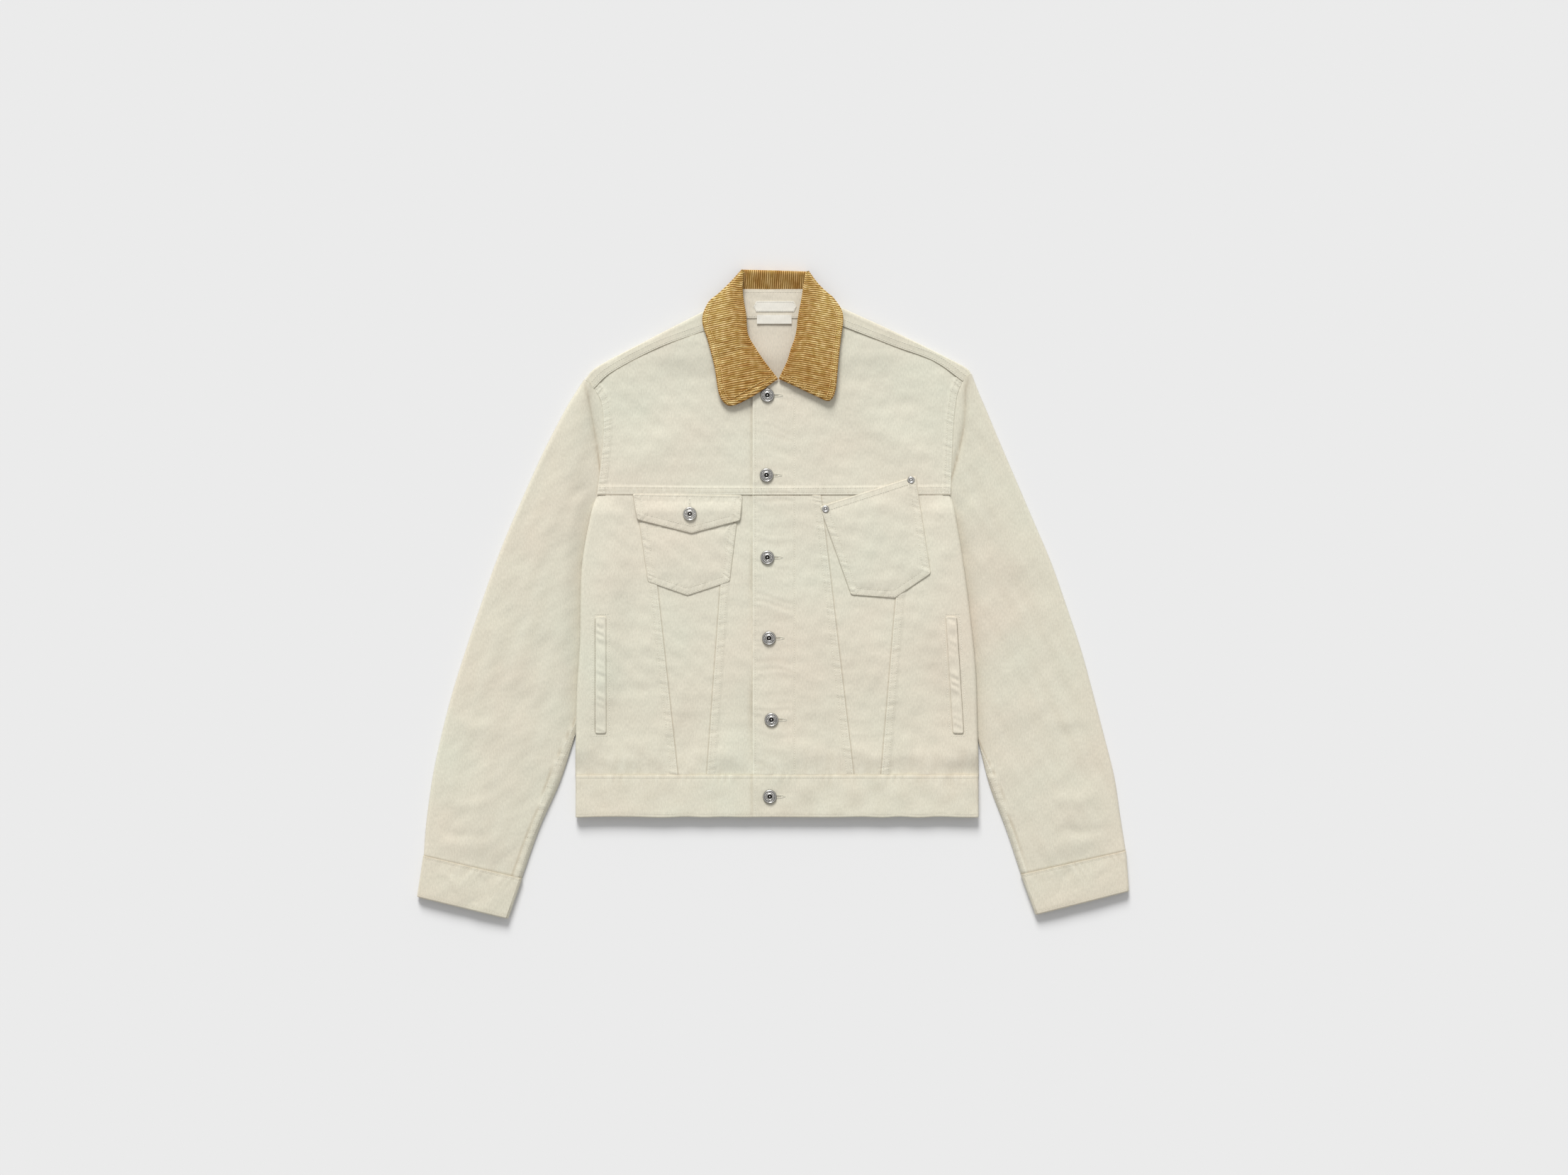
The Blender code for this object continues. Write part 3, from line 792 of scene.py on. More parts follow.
class Finishes:
    """Every finish of the jacket, built once."""

    def __init__(self, shaders: Shaders) -> None:
        """Build the materials."""
        self.face = TwillFinish("cream_twill_face", colour(217, 217, 199),
                                colour(221, 210, 192)).build(shaders)
        self.inside = TwillFinish("cream_twill_inside", colour(217, 212, 195),
                                  colour(218, 206, 189)).build(shaders)
        # The collar's third colour is the crests' wear and painted highlight.
        self.corduroy = CorduroyFinish("ochre_corduroy", colour(124, 88, 34),
                                       colour(178, 142, 76), colour(236, 206, 148),
                                       WALE * MM).build(shaders)
        self.label = TwillFinish("label_tape", colour(232, 229, 219), colour(229, 224, 212),
                                 0.08, 0.0006).build(shaders)
        self.thread = ThreadFinish("cream_thread", colour(233, 230, 215)).build(shaders)
        self.gold = ThreadFinish("golden_thread", colour(236, 203, 132)).build(shaders)
        self.button = MetalFinish("antique_silver", colour(206, 204, 200), colour(46, 43, 40),
                                  0.0019, 0.0032).build(shaders)
        self.flap_button = MetalFinish("worn_silver", colour(214, 212, 207), colour(96, 92, 88),
                                       0.0018, 0.0030).build(shaders)
        self.bright = MetalFinish("bright_silver", colour(214, 212, 208), colour(70, 66, 62),
                                  0.0008, 0.0016).build(shaders)
        # Dark thread finish painted as the shadow inside the welts' slits and the buttonholes.
        self.shadow = ThreadFinish("slit_dark", colour(136, 127, 108)).build(shaders)


# ------------------------------------------------------------------ the pattern

@dataclass(frozen=True)
class SidePattern:
    """Outlines of one side of the jacket."""

    side: Side
    side_edge: tuple[Point, ...]
    armhole: tuple[Point, ...]
    shoulder_seam: tuple[Point, ...]
    shoulder_fold: tuple[Point, ...]
    front_neck: tuple[Point, ...]
    outer_seam: tuple[float, float]
    inner_seam: tuple[float, float]
    front_edge: float
    sleeve: tuple[tuple[float, ...], ...]
    ridge: tuple[Point, ...]
    cuff: tuple[Point, Point, Point, Point]
    leaf: tuple[tuple[float, ...], ...]
    wale_slope: float
    welt: tuple[float, float]


LEFT = SidePattern(
    side=Side.LEFT,
    side_edge=((-218, 124), (-226, 96), (-237, 30), (-239, -60), (-243, -126), (-245, -225)),
    armhole=((-222, 255), (-213, 238), (-210, 211), (-212, 175), (-218, 124)),
    shoulder_seam=((-222, 255), (-200, 275), (-145, 304), (-86, 326), (-62, 337)),
    shoulder_fold=((-234, 266), (-216, 283), (-147, 319), (-88, 349), (-62, 364)),
    front_neck=((-62, 337), (-52, 300), (-36, 275), (-6, 262), (14, 255)),
    outer_seam=(-156, -118), inner_seam=(-57, -82), front_edge=14,
    sleeve=(
        (-234, 266, -222.8, 255, 0), (-245, 249, -213.8, 238, 0), (-256, 231, -210.8, 211, 0),
        (-275, 195, -212.8, 175, 0), (-292, 160, -218.8, 124, 0), (-323, 90, -214, 94, 0),
        (-344, 38, -208, 46, 0), (-363, -16, -213, -30, 0), (-381, -70, -222, -82, 0),
        (-397, -121, -233, -132, 0), (-411, -175, -250, -188, 0.3), (-422, -227, -266, -236, 1),
        (-430, -285, -290, -290, 1), (-433, -324, -312, -352, 1)),
    ridge=((-228, -116), (-245, -156), (-273, -216), (-295, -275), (-308, -306), (-323, -349)),
    cuff=((-433, -325), (-312, -353), (-440.5, -375), (-329, -402)),
    leaf=(
        (-6, 262, 5.5, 266, -55, 231), (-22, 275, -11, 287, -66, 247), (-34, 293, -23, 305, -72, 282),
        (-42, 310, -32, 322, -80, 313), (-46, 332, -34, 345, -87, 339),
        (-50, 350, -37, 362, -80, 360), (-50, 362, -38.5, 378, -67, 371.5),
        (-46, 374, -37.5, 390, -52, 386), (-40, 384, -36.6, 400.5, -38, 401.5)),
    wale_slope=12, welt=(-220, -220))

RIGHT = SidePattern(
    side=Side.RIGHT,
    side_edge=((220, 124), (226, 96), (238, 20), (250, -85), (253, -166), (255, -225)),
    armhole=((235, 264), (228, 246), (224, 215), (222, 175), (220, 124)),
    shoulder_seam=((235, 264), (199, 289), (148, 308), (86, 332), (62, 342)),
    shoulder_fold=((246, 273), (235, 283), (163, 319), (86, 354), (62, 366)),
    front_neck=((62, 342), (48, 300), (30, 275), (0, 262), (-25, 250)),
    outer_seam=(163, 134), inner_seam=(59, 100), front_edge=-25,
    sleeve=(
        (246, 273, 235.8, 264, 0), (254, 252, 228.8, 246, 0), (263, 231, 224.8, 215, 0),
        (278, 195, 222.8, 175, 0), (293, 160, 220.8, 124, 0), (323, 90, 215, 94, 0),
        (345, 38, 209, 46, 0), (364, -16, 219, -30, 0), (382, -70, 231, -82, 0),
        (396, -121, 243, -136, 0), (410, -175, 257, -190, 0.3), (423, -227, 270, -240, 1),
        (431, -280, 290, -293, 1), (437, -318, 308, -347, 1)),
    ridge=((236, -130), (254, -180), (281, -240), (292, -275), (303, -308), (315, -346)),
    cuff=((437, -319), (308, -348), (440.5, -368), (326, -397)),
    leaf=(
        (16, 264, 8, 266.5, 71, 237), (28, 277, 18, 287, 77, 254), (36, 293, 23, 303, 80, 285),
        (42, 310, 29, 321, 83, 313), (46, 332, 32, 344, 86, 345), (50, 350, 36, 365, 76, 364),
        (50, 363, 38, 378, 66, 373), (46, 374, 40, 391, 54.5, 384.5), (43, 384, 41.5, 398.5, 43.5, 399.5)),
    wale_slope=-10, welt=(214, 223))

YOKE_Y = 123.0
BAND_Y = -225.0
HEM_Y = -276.0
NECK_Y = 378.0
BACK_YOKE_Y = 140.0
TWILL = 1.1            # one layer of twill
BAND = 2.4             # two layers sewn together
CORD = 2.3             # collar: corduroy, lining and undercollar
TAPE = 0.5
TUCK = 1.6             # how far a lower panel goes under the lap above it
FRONT = 4.25           # middle of the front above what the back lies on
RIM = 0.25
OVERLAP = 2.2          # rise of the right front over the left at the opening


def x_on(line: Sequence[Point], y: Array) -> Array:
    """X of a line that runs down, at given heights."""
    smoothed = curve(line)[::-1]
    return np.interp(y, smoothed[:, 1], smoothed[:, 0])


def fold(distance: Array, radius: float) -> Array:
    """Share of the full height at a distance in from a fold's edge."""
    part = np.clip(np.asarray(distance) / radius, 0, 1)
    return np.sqrt(np.clip(1 - (1 - part) ** 2, 0, 1))


def spread(width: Array, first: Sequence[float], last: Sequence[float], count: int) -> Array:
    """Distances across rows of differing width.

    Args:
        width: each row's width.
        first: fixed distances from the first edge.
        last: fixed distances from the last edge.
        count: even places between.

    Returns:
        One row of distances for each width.
    """
    w = np.asarray(width, float)[:, None]
    scale = np.minimum(1.0, w / (1.15 * (first[-1] + last[-1])))
    start, end = np.array(first)[None] * scale, np.array(last)[None] * scale
    part = np.linspace(0, 1, count + 2)[None, 1:-1]
    room = w - start[:, -1:] - end[:, -1:]
    return np.hstack([start, start[:, -1:] + room * part, w - end[:, ::-1]])


@dataclass(frozen=True)
class Seam:
    """Lapped seam: the lap lies raised beside the line, sewn down by rows of stitches."""

    line: Array
    lap: Lap
    rows: tuple[float, ...] = (2.1, 8.0)
    band: float = 10.0
    rise: float = 0.82
    pucker: float = 0.27
    wave: float = 6.6
    seed: float = 1.0

    def _lie(self, x: Array, y: Array) -> tuple[Array, Array]:
        """Lay places against the seam.

        Args:
            x: the places' X.
            y: the places' Y.

        Returns:
            How far each lies onto the lap, and the puckers' wave there.
        """
        away, place = near(self.line, x, y)
        away = away * self.lap.value
        return away, ripple(place + 0.3 * away, self.wave, self.seed)

    def relief(self, x: Array, y: Array, top: bool) -> Array:
        """Height that the seam adds.

        Args:
            x: the places' X.
            y: the places' Y.
            top: whether the cloth is the lap, and not what lies under it.

        Returns:
            The added height.
        """
        away, wave = self._lie(x, y)
        if not top:
            under = -0.7 * smooth(-0.6, 0.8, away)
            return under + 0.5 * self.pucker * wave * hill(away, 6)
        body = self.rise * (1 - smooth(self.band - 1.4, self.band + 1.2, away))
        edge = -0.35 * (1 - fold(away, 0.9))
        roll = self.pucker * wave * hill(away - self.band / 2, self.band * 0.62)
        sunk = sum(-PULL * hill(away - row, 0.7) for row in self.rows)
        return body + edge + roll + sunk

    def dye(self, x: Array, y: Array, top: bool) -> Array:
        """Painted shade just outside the lap's edge and in the needle rows, painted highlight on the lap's
        rolled edge and on the puckers' crests.

        Args:
            x: the places' X.
            y: the places' Y.
            top: whether the cloth is the lap.

        Returns:
            The added shade.
        """
        away, wave = self._lie(x, y)
        # Painted shadow under the lap's edge and a painted highlight on its roll.
        edge = -1.1 * hill(away + 0.5, 0.8) + 0.35 * hill(away - 1.1, 0.7)
        if not top:
            return edge
        # Painted shade in the needle rows, painted light and shade on the puckers.
        rows = sum(-0.2 * hill(away - row, 0.8) for row in self.rows)
        crest = 0.22 * wave * hill(away - self.band / 2, self.band * 0.5)
        return edge + rows + crest

    def stitches(self) -> list[Array]:
        """Lines of the seam's rows."""
        return [beside(self.line, row * self.lap.value) for row in self.rows]


@dataclass(frozen=True)
class Crease:
    """Soft ridge, or trough where the height is negative, that fades at its ends."""

    points: tuple[Point, ...]
    height: float
    width: float

    def relief(self, x: Array, y: Array) -> Array:
        """Height that the crease adds at places."""
        line = curve(self.points, 5)
        away, place = near(line, x, y)
        full = reach(line)[-1]
        fade = smooth(0, 0.3 * full, place) * smooth(full, 0.7 * full, place)
        return self.height * hill(away, self.width) * fade


def placket_run(x: Array, y: Array) -> Array:
    """Slanting, slightly wandering run along the button placket, for its puckers."""
    return y + 0.16 * x + 3.0 * np.sin(x / 11 + y / 37)


class Lay:
    """How high the layers lie over the floor."""

    OVER_SLEEVE = 4.1
    OVER_COLLAR = 2.8

    def __init__(self, creases: dict[Side, Sequence[Crease]]) -> None:
        """Keep each front's creases."""
        self.creases = creases
        self.hidden = {p.side: [(row[2], row[3]) for row in p.sleeve] for p in (LEFT, RIGHT)}

    def bed(self, x: Array, y: Array) -> Array:
        """Height of what lies under the back."""
        x, y = np.asarray(x, float), np.asarray(y, float)
        edge = np.where(x < 0, -x_on(self.hidden[Side.LEFT], y), x_on(self.hidden[Side.RIGHT], y))
        rise = np.clip((np.abs(x) - edge + 45) / 37, 0, 1)
        over = rise * rise * (3 - 2 * rise) * smooth(128, 98, y) * smooth(-224, -192, y)
        neck = smooth(265, 300, y) * smooth(165, 125, np.abs(x))
        return over * self.OVER_SLEEVE + neck * self.OVER_COLLAR

    def front(self, side: Side) -> Height:
        """Middle height of a front's cloth, with its soft swell and creases.

        Args:
            side: which front.

        Returns:
            A function of the place.
        """
        pattern = LEFT if side is Side.LEFT else RIGHT

        def height(x: Array, y: Array) -> Array:
            x, y = np.asarray(x, float), np.asarray(y, float)
            edge = np.abs(np.where(y > 124, x_on(pattern.armhole, y), x_on(pattern.side_edge, y)))
            inside = (smooth(2, 26, edge - np.abs(x)) * smooth(-225, -200, y)
                      * smooth(345, 300, y - 0.25 * (150 - np.abs(x))))
            swell = 0.75 * inside + 0.55 * inside * rumple(x, y, 90, 11 + side.value)
            swell += 0.20 * rumple(x, y, 28, 21 + side.value) * inside
            swell += 2.0 * smooth(-160, -212, y)
            swell += 0.55 * smooth(-150, -205, y) * rumple(x, 0.6 * y, 34, 25 + side.value)
            soft = sum(crease.relief(x, y) for crease in self.creases[side])
            level = self.bed(x, y) + FRONT + swell + soft
            if side is Side.LEFT:
                level = level - 0.5 * hill(x + 26.5, 1.8) - 0.5 * hill(x + 29, 5)
            if side is Side.RIGHT:
                level = level + OVERLAP * smooth(80, 42, x)
                band = smooth(-25, -19, x) * smooth(28, 22, x)
                slant = placket_run(x, y)
                level = level + 0.15 * band * ripple(slant, 13, 1.3) * smooth(-215, -200, y)
                level = level + 0.16 * hill(x + 20, 6) * ripple(y, 8, 2.1)
            return level
        return height


# ------------------------------------------------------------------ thread

class Threads:
    """Rows of stitches laid on finished cloth and joined into one mesh."""

    LENGTH = 2.35
    PITCH = 3.05

    def __init__(self, name: str, finish: Material, slot: str,
                 radius: float = 0.27) -> None:
        """Start with no stitches."""
        self.radius = radius
        self.name = name
        self.finish = finish
        self.slot = slot
        self.ends: list[tuple[Array, Array]] = []

    def sew(self, line: Array, cloth: Sequence[Thing], pitch: float = PITCH,
            length: float = LENGTH) -> None:
        """Lay stitches along a line.

        Args:
            line: the row's plan.
            cloth: pieces that the row may lie on; the topmost is used.
            pitch: distance from one stitch to the next.
            length: length of the thread that shows.
        """
        trees = [tree_of(piece) for piece in cloth]
        run = reach(line)
        count = int(run[-1] / pitch)
        for index in range(count):
            middle = (index + 0.5) * pitch
            pair = [np.array([np.interp(middle + d, run, line[:, k]) for k in (0, 1)])
                    for d in (-length / 2, length / 2)]
            placed = [drop(trees, point) for point in pair]
            if placed[0] is not None and placed[1] is not None:
                self.ends.append((placed[0], placed[1]))

    def build(self) -> Thing | None:
        """Join the stitches into one mesh."""
        if not self.ends:
            return None
        starts = np.array([a for a, _ in self.ends])
        stops = np.array([b for _, b in self.ends])
        run = stops - starts
        length = np.linalg.norm(run, axis=1, keepdims=True)
        run /= np.maximum(length, 1e-9)
        flat = np.cross([[0, 0, 1.0]], run)
        flat /= np.maximum(np.linalg.norm(flat, axis=1, keepdims=True), 1e-9)
        up = np.cross(run, flat)
        rings = ((0.0, 0.45, -0.14), (0.2, 1.0, 0.10), (0.8, 1.0, 0.10), (1.0, 0.45, -0.14))
        sides = 4
        points = []
        for part, width, rise in rings:
            centre = starts + run * length * part + up * rise
            for k in range(sides):
                turn = 2 * math.pi * (k + 0.5) / sides
                points.append(centre + self.radius * width * (flat * math.cos(turn)
                                                              + up * math.sin(turn)))
        block = np.stack(points, axis=1)
        many = len(self.ends)
        quad = []
        for ring in range(len(rings) - 1):
            for k in range(sides):
                a, b = ring * sides + k, ring * sides + (k + 1) % sides
                quad.append((a, b, b + sides, a + sides))
        last = (len(rings) - 1) * sides
        quad += [(3, 2, 1, 0), (last, last + 1, last + 2, last + 3)]
        faces = np.array(quad)[None] + (np.arange(many) * len(points))[:, None, None]
        thing = make_mesh(self.name, block.reshape(-1, 3), faces.reshape(-1, 4), sharp=80)
        thing.data.materials.append(self.finish)
        return thing


TREES: dict[str, BVHTree] = {}


def tree_of(piece: Thing) -> BVHTree:
    """Search tree of a finished piece, kept for the next time it is asked for."""
    if piece.name not in TREES:
        corners = [tuple(v.co) for v in piece.data.vertices]
        TREES[piece.name] = BVHTree.FromPolygons(corners,
                                                 [tuple(p.vertices) for p in piece.data.polygons])
    return TREES[piece.name]


def drop(trees: Sequence[BVHTree], point: Array) -> Array | None:
    """Put a plan point on the topmost cloth under it.

    Args:
        trees: search trees of the pieces.
        point: plan place in millimetres.

    Returns:
        The place, or None where there is no cloth.
    """
    hits = [tree.ray_cast((point[0] * MM, point[1] * MM, 1), (0, 0, -1))[0] for tree in trees]
    heights = [hit.z for hit in hits if hit is not None]
    return np.array([point[0], point[1], max(heights) / MM]) if heights else None


# ------------------------------------------------------------------ the jacket

class Jacket:
    """What the parts of the jacket share: heights, finishes, seams and sewing."""

    def __init__(self, finishes: Finishes) -> None:
        """Set the heights and the seams."""
        self.finishes = finishes
        self.lay = Lay({Side.LEFT: LEFT_CREASES, Side.RIGHT: RIGHT_CREASES})
        self.cloth = Threads("stitches_cream", finishes.thread, "cream_twill")
        self.gold = Threads("stitches_golden", finishes.gold, "ochre_corduroy", 0.5)
        self.pieces: dict[str, Thing] = {}

    def add(self, name: str, middle: Array, thickness: float, rests_on: Sequence[str],
            finish: Material | None = None, slot: str = "cream_twill",
            grain: Array | None = None, raised: Array | float = 0.0, ring: bool = False,
            shade: Array | None = None) -> Thing:
        """Make a sheet of cloth in place of its node.

        Args:
            name: the node's name, which the piece takes with an ending.
            middle: grid of its middle points.
            thickness: the cloth's thickness.
            rests_on: nodes that it lies on; not used.
            finish: its material; cream twill where left out.
            slot: the record's material slot; not used.
            grain: places in the flat cloth.
            raised: extra height of the upper face.
            ring: whether the grid closes across.
            shade: painted shade or painted highlight at each point.

        Returns:
            The piece.
        """
        thing = make_sheet(name + "_cloth", middle, thickness, grain, raised, ring, shade)
        thing.data.materials.append(finish or self.finishes.face)
        across = np.linalg.norm(np.diff(middle, axis=1), axis=-1).sum(axis=1)
        if ring:
            across = across + np.linalg.norm(middle[:, 0] - middle[:, -1], axis=-1)
        declare(name)
        self.pieces[name] = thing
        return thing

    def some(self, *names: str) -> list[Thing]:
        """Finished pieces by their nodes' names."""
        return [self.pieces[name] for name in names]


LEFT_CREASES = (
    Crease(((-150, -190), (-120, -150), (-112, -100)), 1.0, 9),
    Crease(((-106, -205), (-96, -175), (-100, -140)), -0.8, 8),
    Crease(((-60, -215), (-52, -180), (-50, -140)), 0.8, 8),
    Crease(((-196, -60), (-170, -66), (-140, -60)), 0.7, 8),
    Crease(((-196, -110), (-165, -118), (-130, -112)), -0.6, 8),
    Crease(((-200, 150), (-150, 175), (-110, 220)), 0.8, 14),
    Crease(((-195, 235), (-160, 215), (-120, 205)), -0.7, 12),
    Crease(((-222, 60), (-200, 30), (-190, -10)), 0.8, 9),
)
RIGHT_CREASES = (
    Crease(((150, -200), (140, -150), (150, -100)), 1.0, 10),
    Crease(((185, -205), (180, -165), (190, -130)), -0.8, 8),
    Crease(((60, -210), (68, -170), (64, -120)), 0.9, 8),
    Crease(((40, -60), (55, -80), (60, -110)), -0.6, 8),
    Crease(((120, -40), (130, -80), (125, -120)), 0.7, 10),
    Crease(((205, 160), (160, 185), (110, 210)), 0.8, 14),
    Crease(((205, 250), (160, 235), (110, 230)), -0.7, 12),
    Crease(((225, 70), (205, 40), (200, 0)), 0.8, 9),
)


def chord(a: Point, b: Point) -> Array:
    """Straight line between two points, in even steps."""
    t = np.linspace(0, 1, CHORD_STEPS)
    return np.outer(1 - t, a) + np.outer(t, b)


@dataclass
class Front:
    """One front: a yoke over side, middle and centre panels."""

    jacket: Jacket
    pattern: SidePattern
    seams: dict[str, Seam] = field(default_factory=dict)

    def build(self) -> None:
        """Build and sew the front."""
        self._plan_seams()
        self._panels()
        self._yoke()
        self._sew()

    def _plan_seams(self) -> None:
        """Draw the seams' lines and say which cloth is the lap."""
        p, left = self.pattern, self.pattern.side is Side.LEFT
        edge = p.side_edge[0][0]
        across = [(edge * 1.004, 124), (0.5 * (edge + p.front_edge), YOKE_Y), (p.front_edge, 122.4)]
        if not left:
            across = across[::-1]
        self.seams["yoke"] = Seam(curve(across, 20), Lap.LEFT_HAND, rows=(2.9, 8.3), seed=2.0)
        outer = [(p.outer_seam[0], YOKE_Y), (p.outer_seam[1], BAND_Y)]
        inner = [(p.inner_seam[0], YOKE_Y), (p.inner_seam[1], BAND_Y)]
        self.seams["outer"] = Seam(chord(*outer), Lap.RIGHT_HAND if left else Lap.LEFT_HAND,
                                   seed=3.1 + edge)
        self.seams["inner"] = Seam(chord(*inner), Lap.LEFT_HAND if left else Lap.RIGHT_HAND,
                                   seed=4.2 + edge)
        self.seams["armhole"] = Seam(curve(p.armhole), Lap.LEFT_HAND if left else Lap.RIGHT_HAND,
                                     rows=(2.0, 7.6), pucker=0.3, seed=5.0)
        shoulder = curve(p.shoulder_seam)
        self.seams["shoulder"] = Seam(shoulder, Lap.LEFT_HAND if left else Lap.RIGHT_HAND,
                                      rows=(2.2, 7.8), pucker=0.3, seed=6.0)

    def _surface(self, x: Array, y: Array, laps: dict[str, bool]) -> Array:
        """Middle height of a panel with the seams that touch it.

        Args:
            x: the places' X.
            y: the places' Y.
            laps: for each touching seam, whether this panel is its lap.

        Returns:
            The heights.
        """
        height = self.jacket.lay.front(self.pattern.side)(x, y)
        for name, top in laps.items():
            height = height + self.seams[name].relief(x, y, top)
        if self.pattern.side is Side.RIGHT:
            height = height - PULL * hill(x - FRONT_ROWS[1], 0.8)
            height = height - PULL * hill(x - FRONT_ROWS[0], 0.8)
            height = height - 0.5 * (1 - fold(x - self.pattern.front_edge, 1.3))
        return height

    def _dye(self, x: Array, y: Array, laps: dict[str, bool]) -> Array:
        """Painted shade and highlight of a panel beside its seams, along the band and at the front edge;
        also darker towards the bottom.
        """
        shade = sum(self.seams[name].dye(x, y, top) for name, top in laps.items())
        # Uneven lighter and darker patches just above the band.
        shade = shade + 0.18 * rumple(x, 0.5 * y, 16, 27) * smooth(-170, -222, y)
        # Painted shade along the band's top seam; the panels also grow darker towards the bottom.
        shade = shade - 0.9 * hill(y - BAND_Y, 1.6) - 0.22 * smooth(60, -200, y)
        if self.pattern.side is Side.LEFT:
            # Painted shadow on the left front just beside the right front's edge.
            return shade - 0.7 * hill(x + 26.4, 1.2)
        slant = placket_run(x, y)
        band = smooth(-25, -21, x) * smooth(28, 22, x)
        # Painted light and shade on the placket's puckers, painted highlight on the fold of the front
        # edge.
        shade = shade + 0.1 * band * ripple(slant, 13, 1.3) + 0.3 * hill(x + 24.2, 0.9)
        # Painted shade in the placket's needle rows.
        return shade - 0.2 * hill(x - FRONT_ROWS[1], 0.9) - 0.2 * hill(x - FRONT_ROWS[0], 0.9)

    def _panels(self) -> None:
        """Side, middle and centre panels."""
        p, sign = self.pattern, self.pattern.side.value
        y = np.concatenate([[YOKE_Y + TUCK, YOKE_Y + 0.4], YOKE_Y - graded(YOKE_Y - BAND_Y,
                                                                          SEAM_STEPS[1:], 1.95)])
        y = np.append(y[y > BAND_Y + 0.2], BAND_Y + 0.1 - TUCK)
        share = (YOKE_Y - y) / (YOKE_Y - BAND_Y)
        edge = x_on(p.side_edge, np.clip(y, BAND_Y, 124))
        outer = p.outer_seam[0] + (p.outer_seam[1] - p.outer_seam[0]) * share
        inner = p.inner_seam[0] + (p.inner_seam[1] - p.inner_seam[0]) * share
        lapped = SEAM_STEPS
        tucked = (-TUCK, -0.4, 0.4, 1.2, 2.4, 4, 6, 8.5, 12, 16)
        rolled = (0, 0.12, 0.45, 1, 1.8, 2.8, 4.2, 6, 8.5, 12, 16)
        placket = (0, 0.3, 0.8, 1.5, 2.2, 2.9, 3.8, 5, 7, 10, 14, 18, 22, 26, 30, 34, 38, 42, 46,
                   49, 50.3, 51, 51.7, 52.4, 53.5, 56)
        plain = (0, 2, 4, 7, 10, 14)

        def piece(word: str, start: Array, stop: Array, first: Sequence[float],
                  last: Sequence[float], count: int, laps: dict[str, bool],
                  rests: Sequence[str]) -> None:
            d = spread(np.abs(stop - start), first, last, count)
            x = start[:, None] + np.sign(stop - start)[:, None] * d
            yy = y[:, None] + 0 * x
            z = self._surface(x, yy, laps)
            if word == "side":
                bed = self.jacket.lay.bed(x, yy)
                z = RIM + bed + (z - bed - RIM) * fold(d, FRONT)
            grid, dye = np.stack([x, yy, z], axis=-1), self._dye(x, yy, laps)
            if sign > 0:
                grid, dye = grid[:, ::-1], dye[:, ::-1]
            self.jacket.add(f"front_{word}_{p.side.word}", grid, TWILL, rests, shade=dye)

        back = "back_side_" + p.side.word
        piece("side", edge, outer, rolled, lapped, 26, {"yoke": False, "outer": True}, [back])
        piece("middle", outer, inner, tucked, tucked, 14,
              {"yoke": False, "outer": False, "inner": False}, [back, "back_centre"])
        last = plain if sign < 0 else placket
        piece("centre", inner, np.full_like(y, p.front_edge), lapped, last, 8 if sign < 0 else 10,
              {"yoke": False, "inner": True},
              ["back_centre"] if sign < 0 else ["front_centre_left", "back_centre"])

    def _yoke(self) -> None:
        """Front yoke, from the shoulder seam to the yoke seam."""
        p, left = self.pattern, self.pattern.side is Side.LEFT
        top = curve(p.shoulder_seam)
        outer = curve(p.armhole)
        outer[-1] = (outer[-1][0], YOKE_Y)
        neck = np.vstack([curve(p.front_neck), [(p.front_edge, YOKE_Y)]])
        bottom = chord(tuple(outer[-1]), tuple(neck[-1]))
        if not left:
            top, bottom = top[::-1], bottom[::-1]
            outer, neck = neck, outer
        columns = graded(205, SEAM_STEPS, 2.6) / 205
        rows = graded(165, SEAM_STEPS, 2.0) / 165
        plan = coons(top, bottom, outer, neck, columns, rows)
        x, y = plan[..., 0], plan[..., 1]
        laps = {"yoke": True, "armhole": True, "shoulder": False}
        grid = np.stack([x, y, self._surface(x, y, laps)], axis=-1)
        rests = ["back_yoke"] if left else ["back_yoke", "front_yoke_left"]
        self.jacket.add("front_yoke_" + p.side.word, grid, TWILL, rests, shade=self._dye(x, y, laps))

    def _sew(self) -> None:
        """Stitch the laps."""
        p, jacket, word = self.pattern, self.jacket, self.pattern.side.word
        yoke = jacket.some("front_yoke_" + word)
        panels = jacket.some(f"front_side_{word}", f"front_middle_{word}", f"front_centre_{word}")
        for name, pieces in (("yoke", yoke), ("armhole", yoke), ("outer", panels),
                             ("inner", panels)):
            for line in self.seams[name].stitches():
                jacket.cloth.sew(line, pieces)
        if p.side is Side.RIGHT:
            for x in FRONT_ROWS:
                line = chord((x, 250 if x < 0 else 262), (x, BAND_Y + 2))
                jacket.cloth.sew(line, yoke + panels)


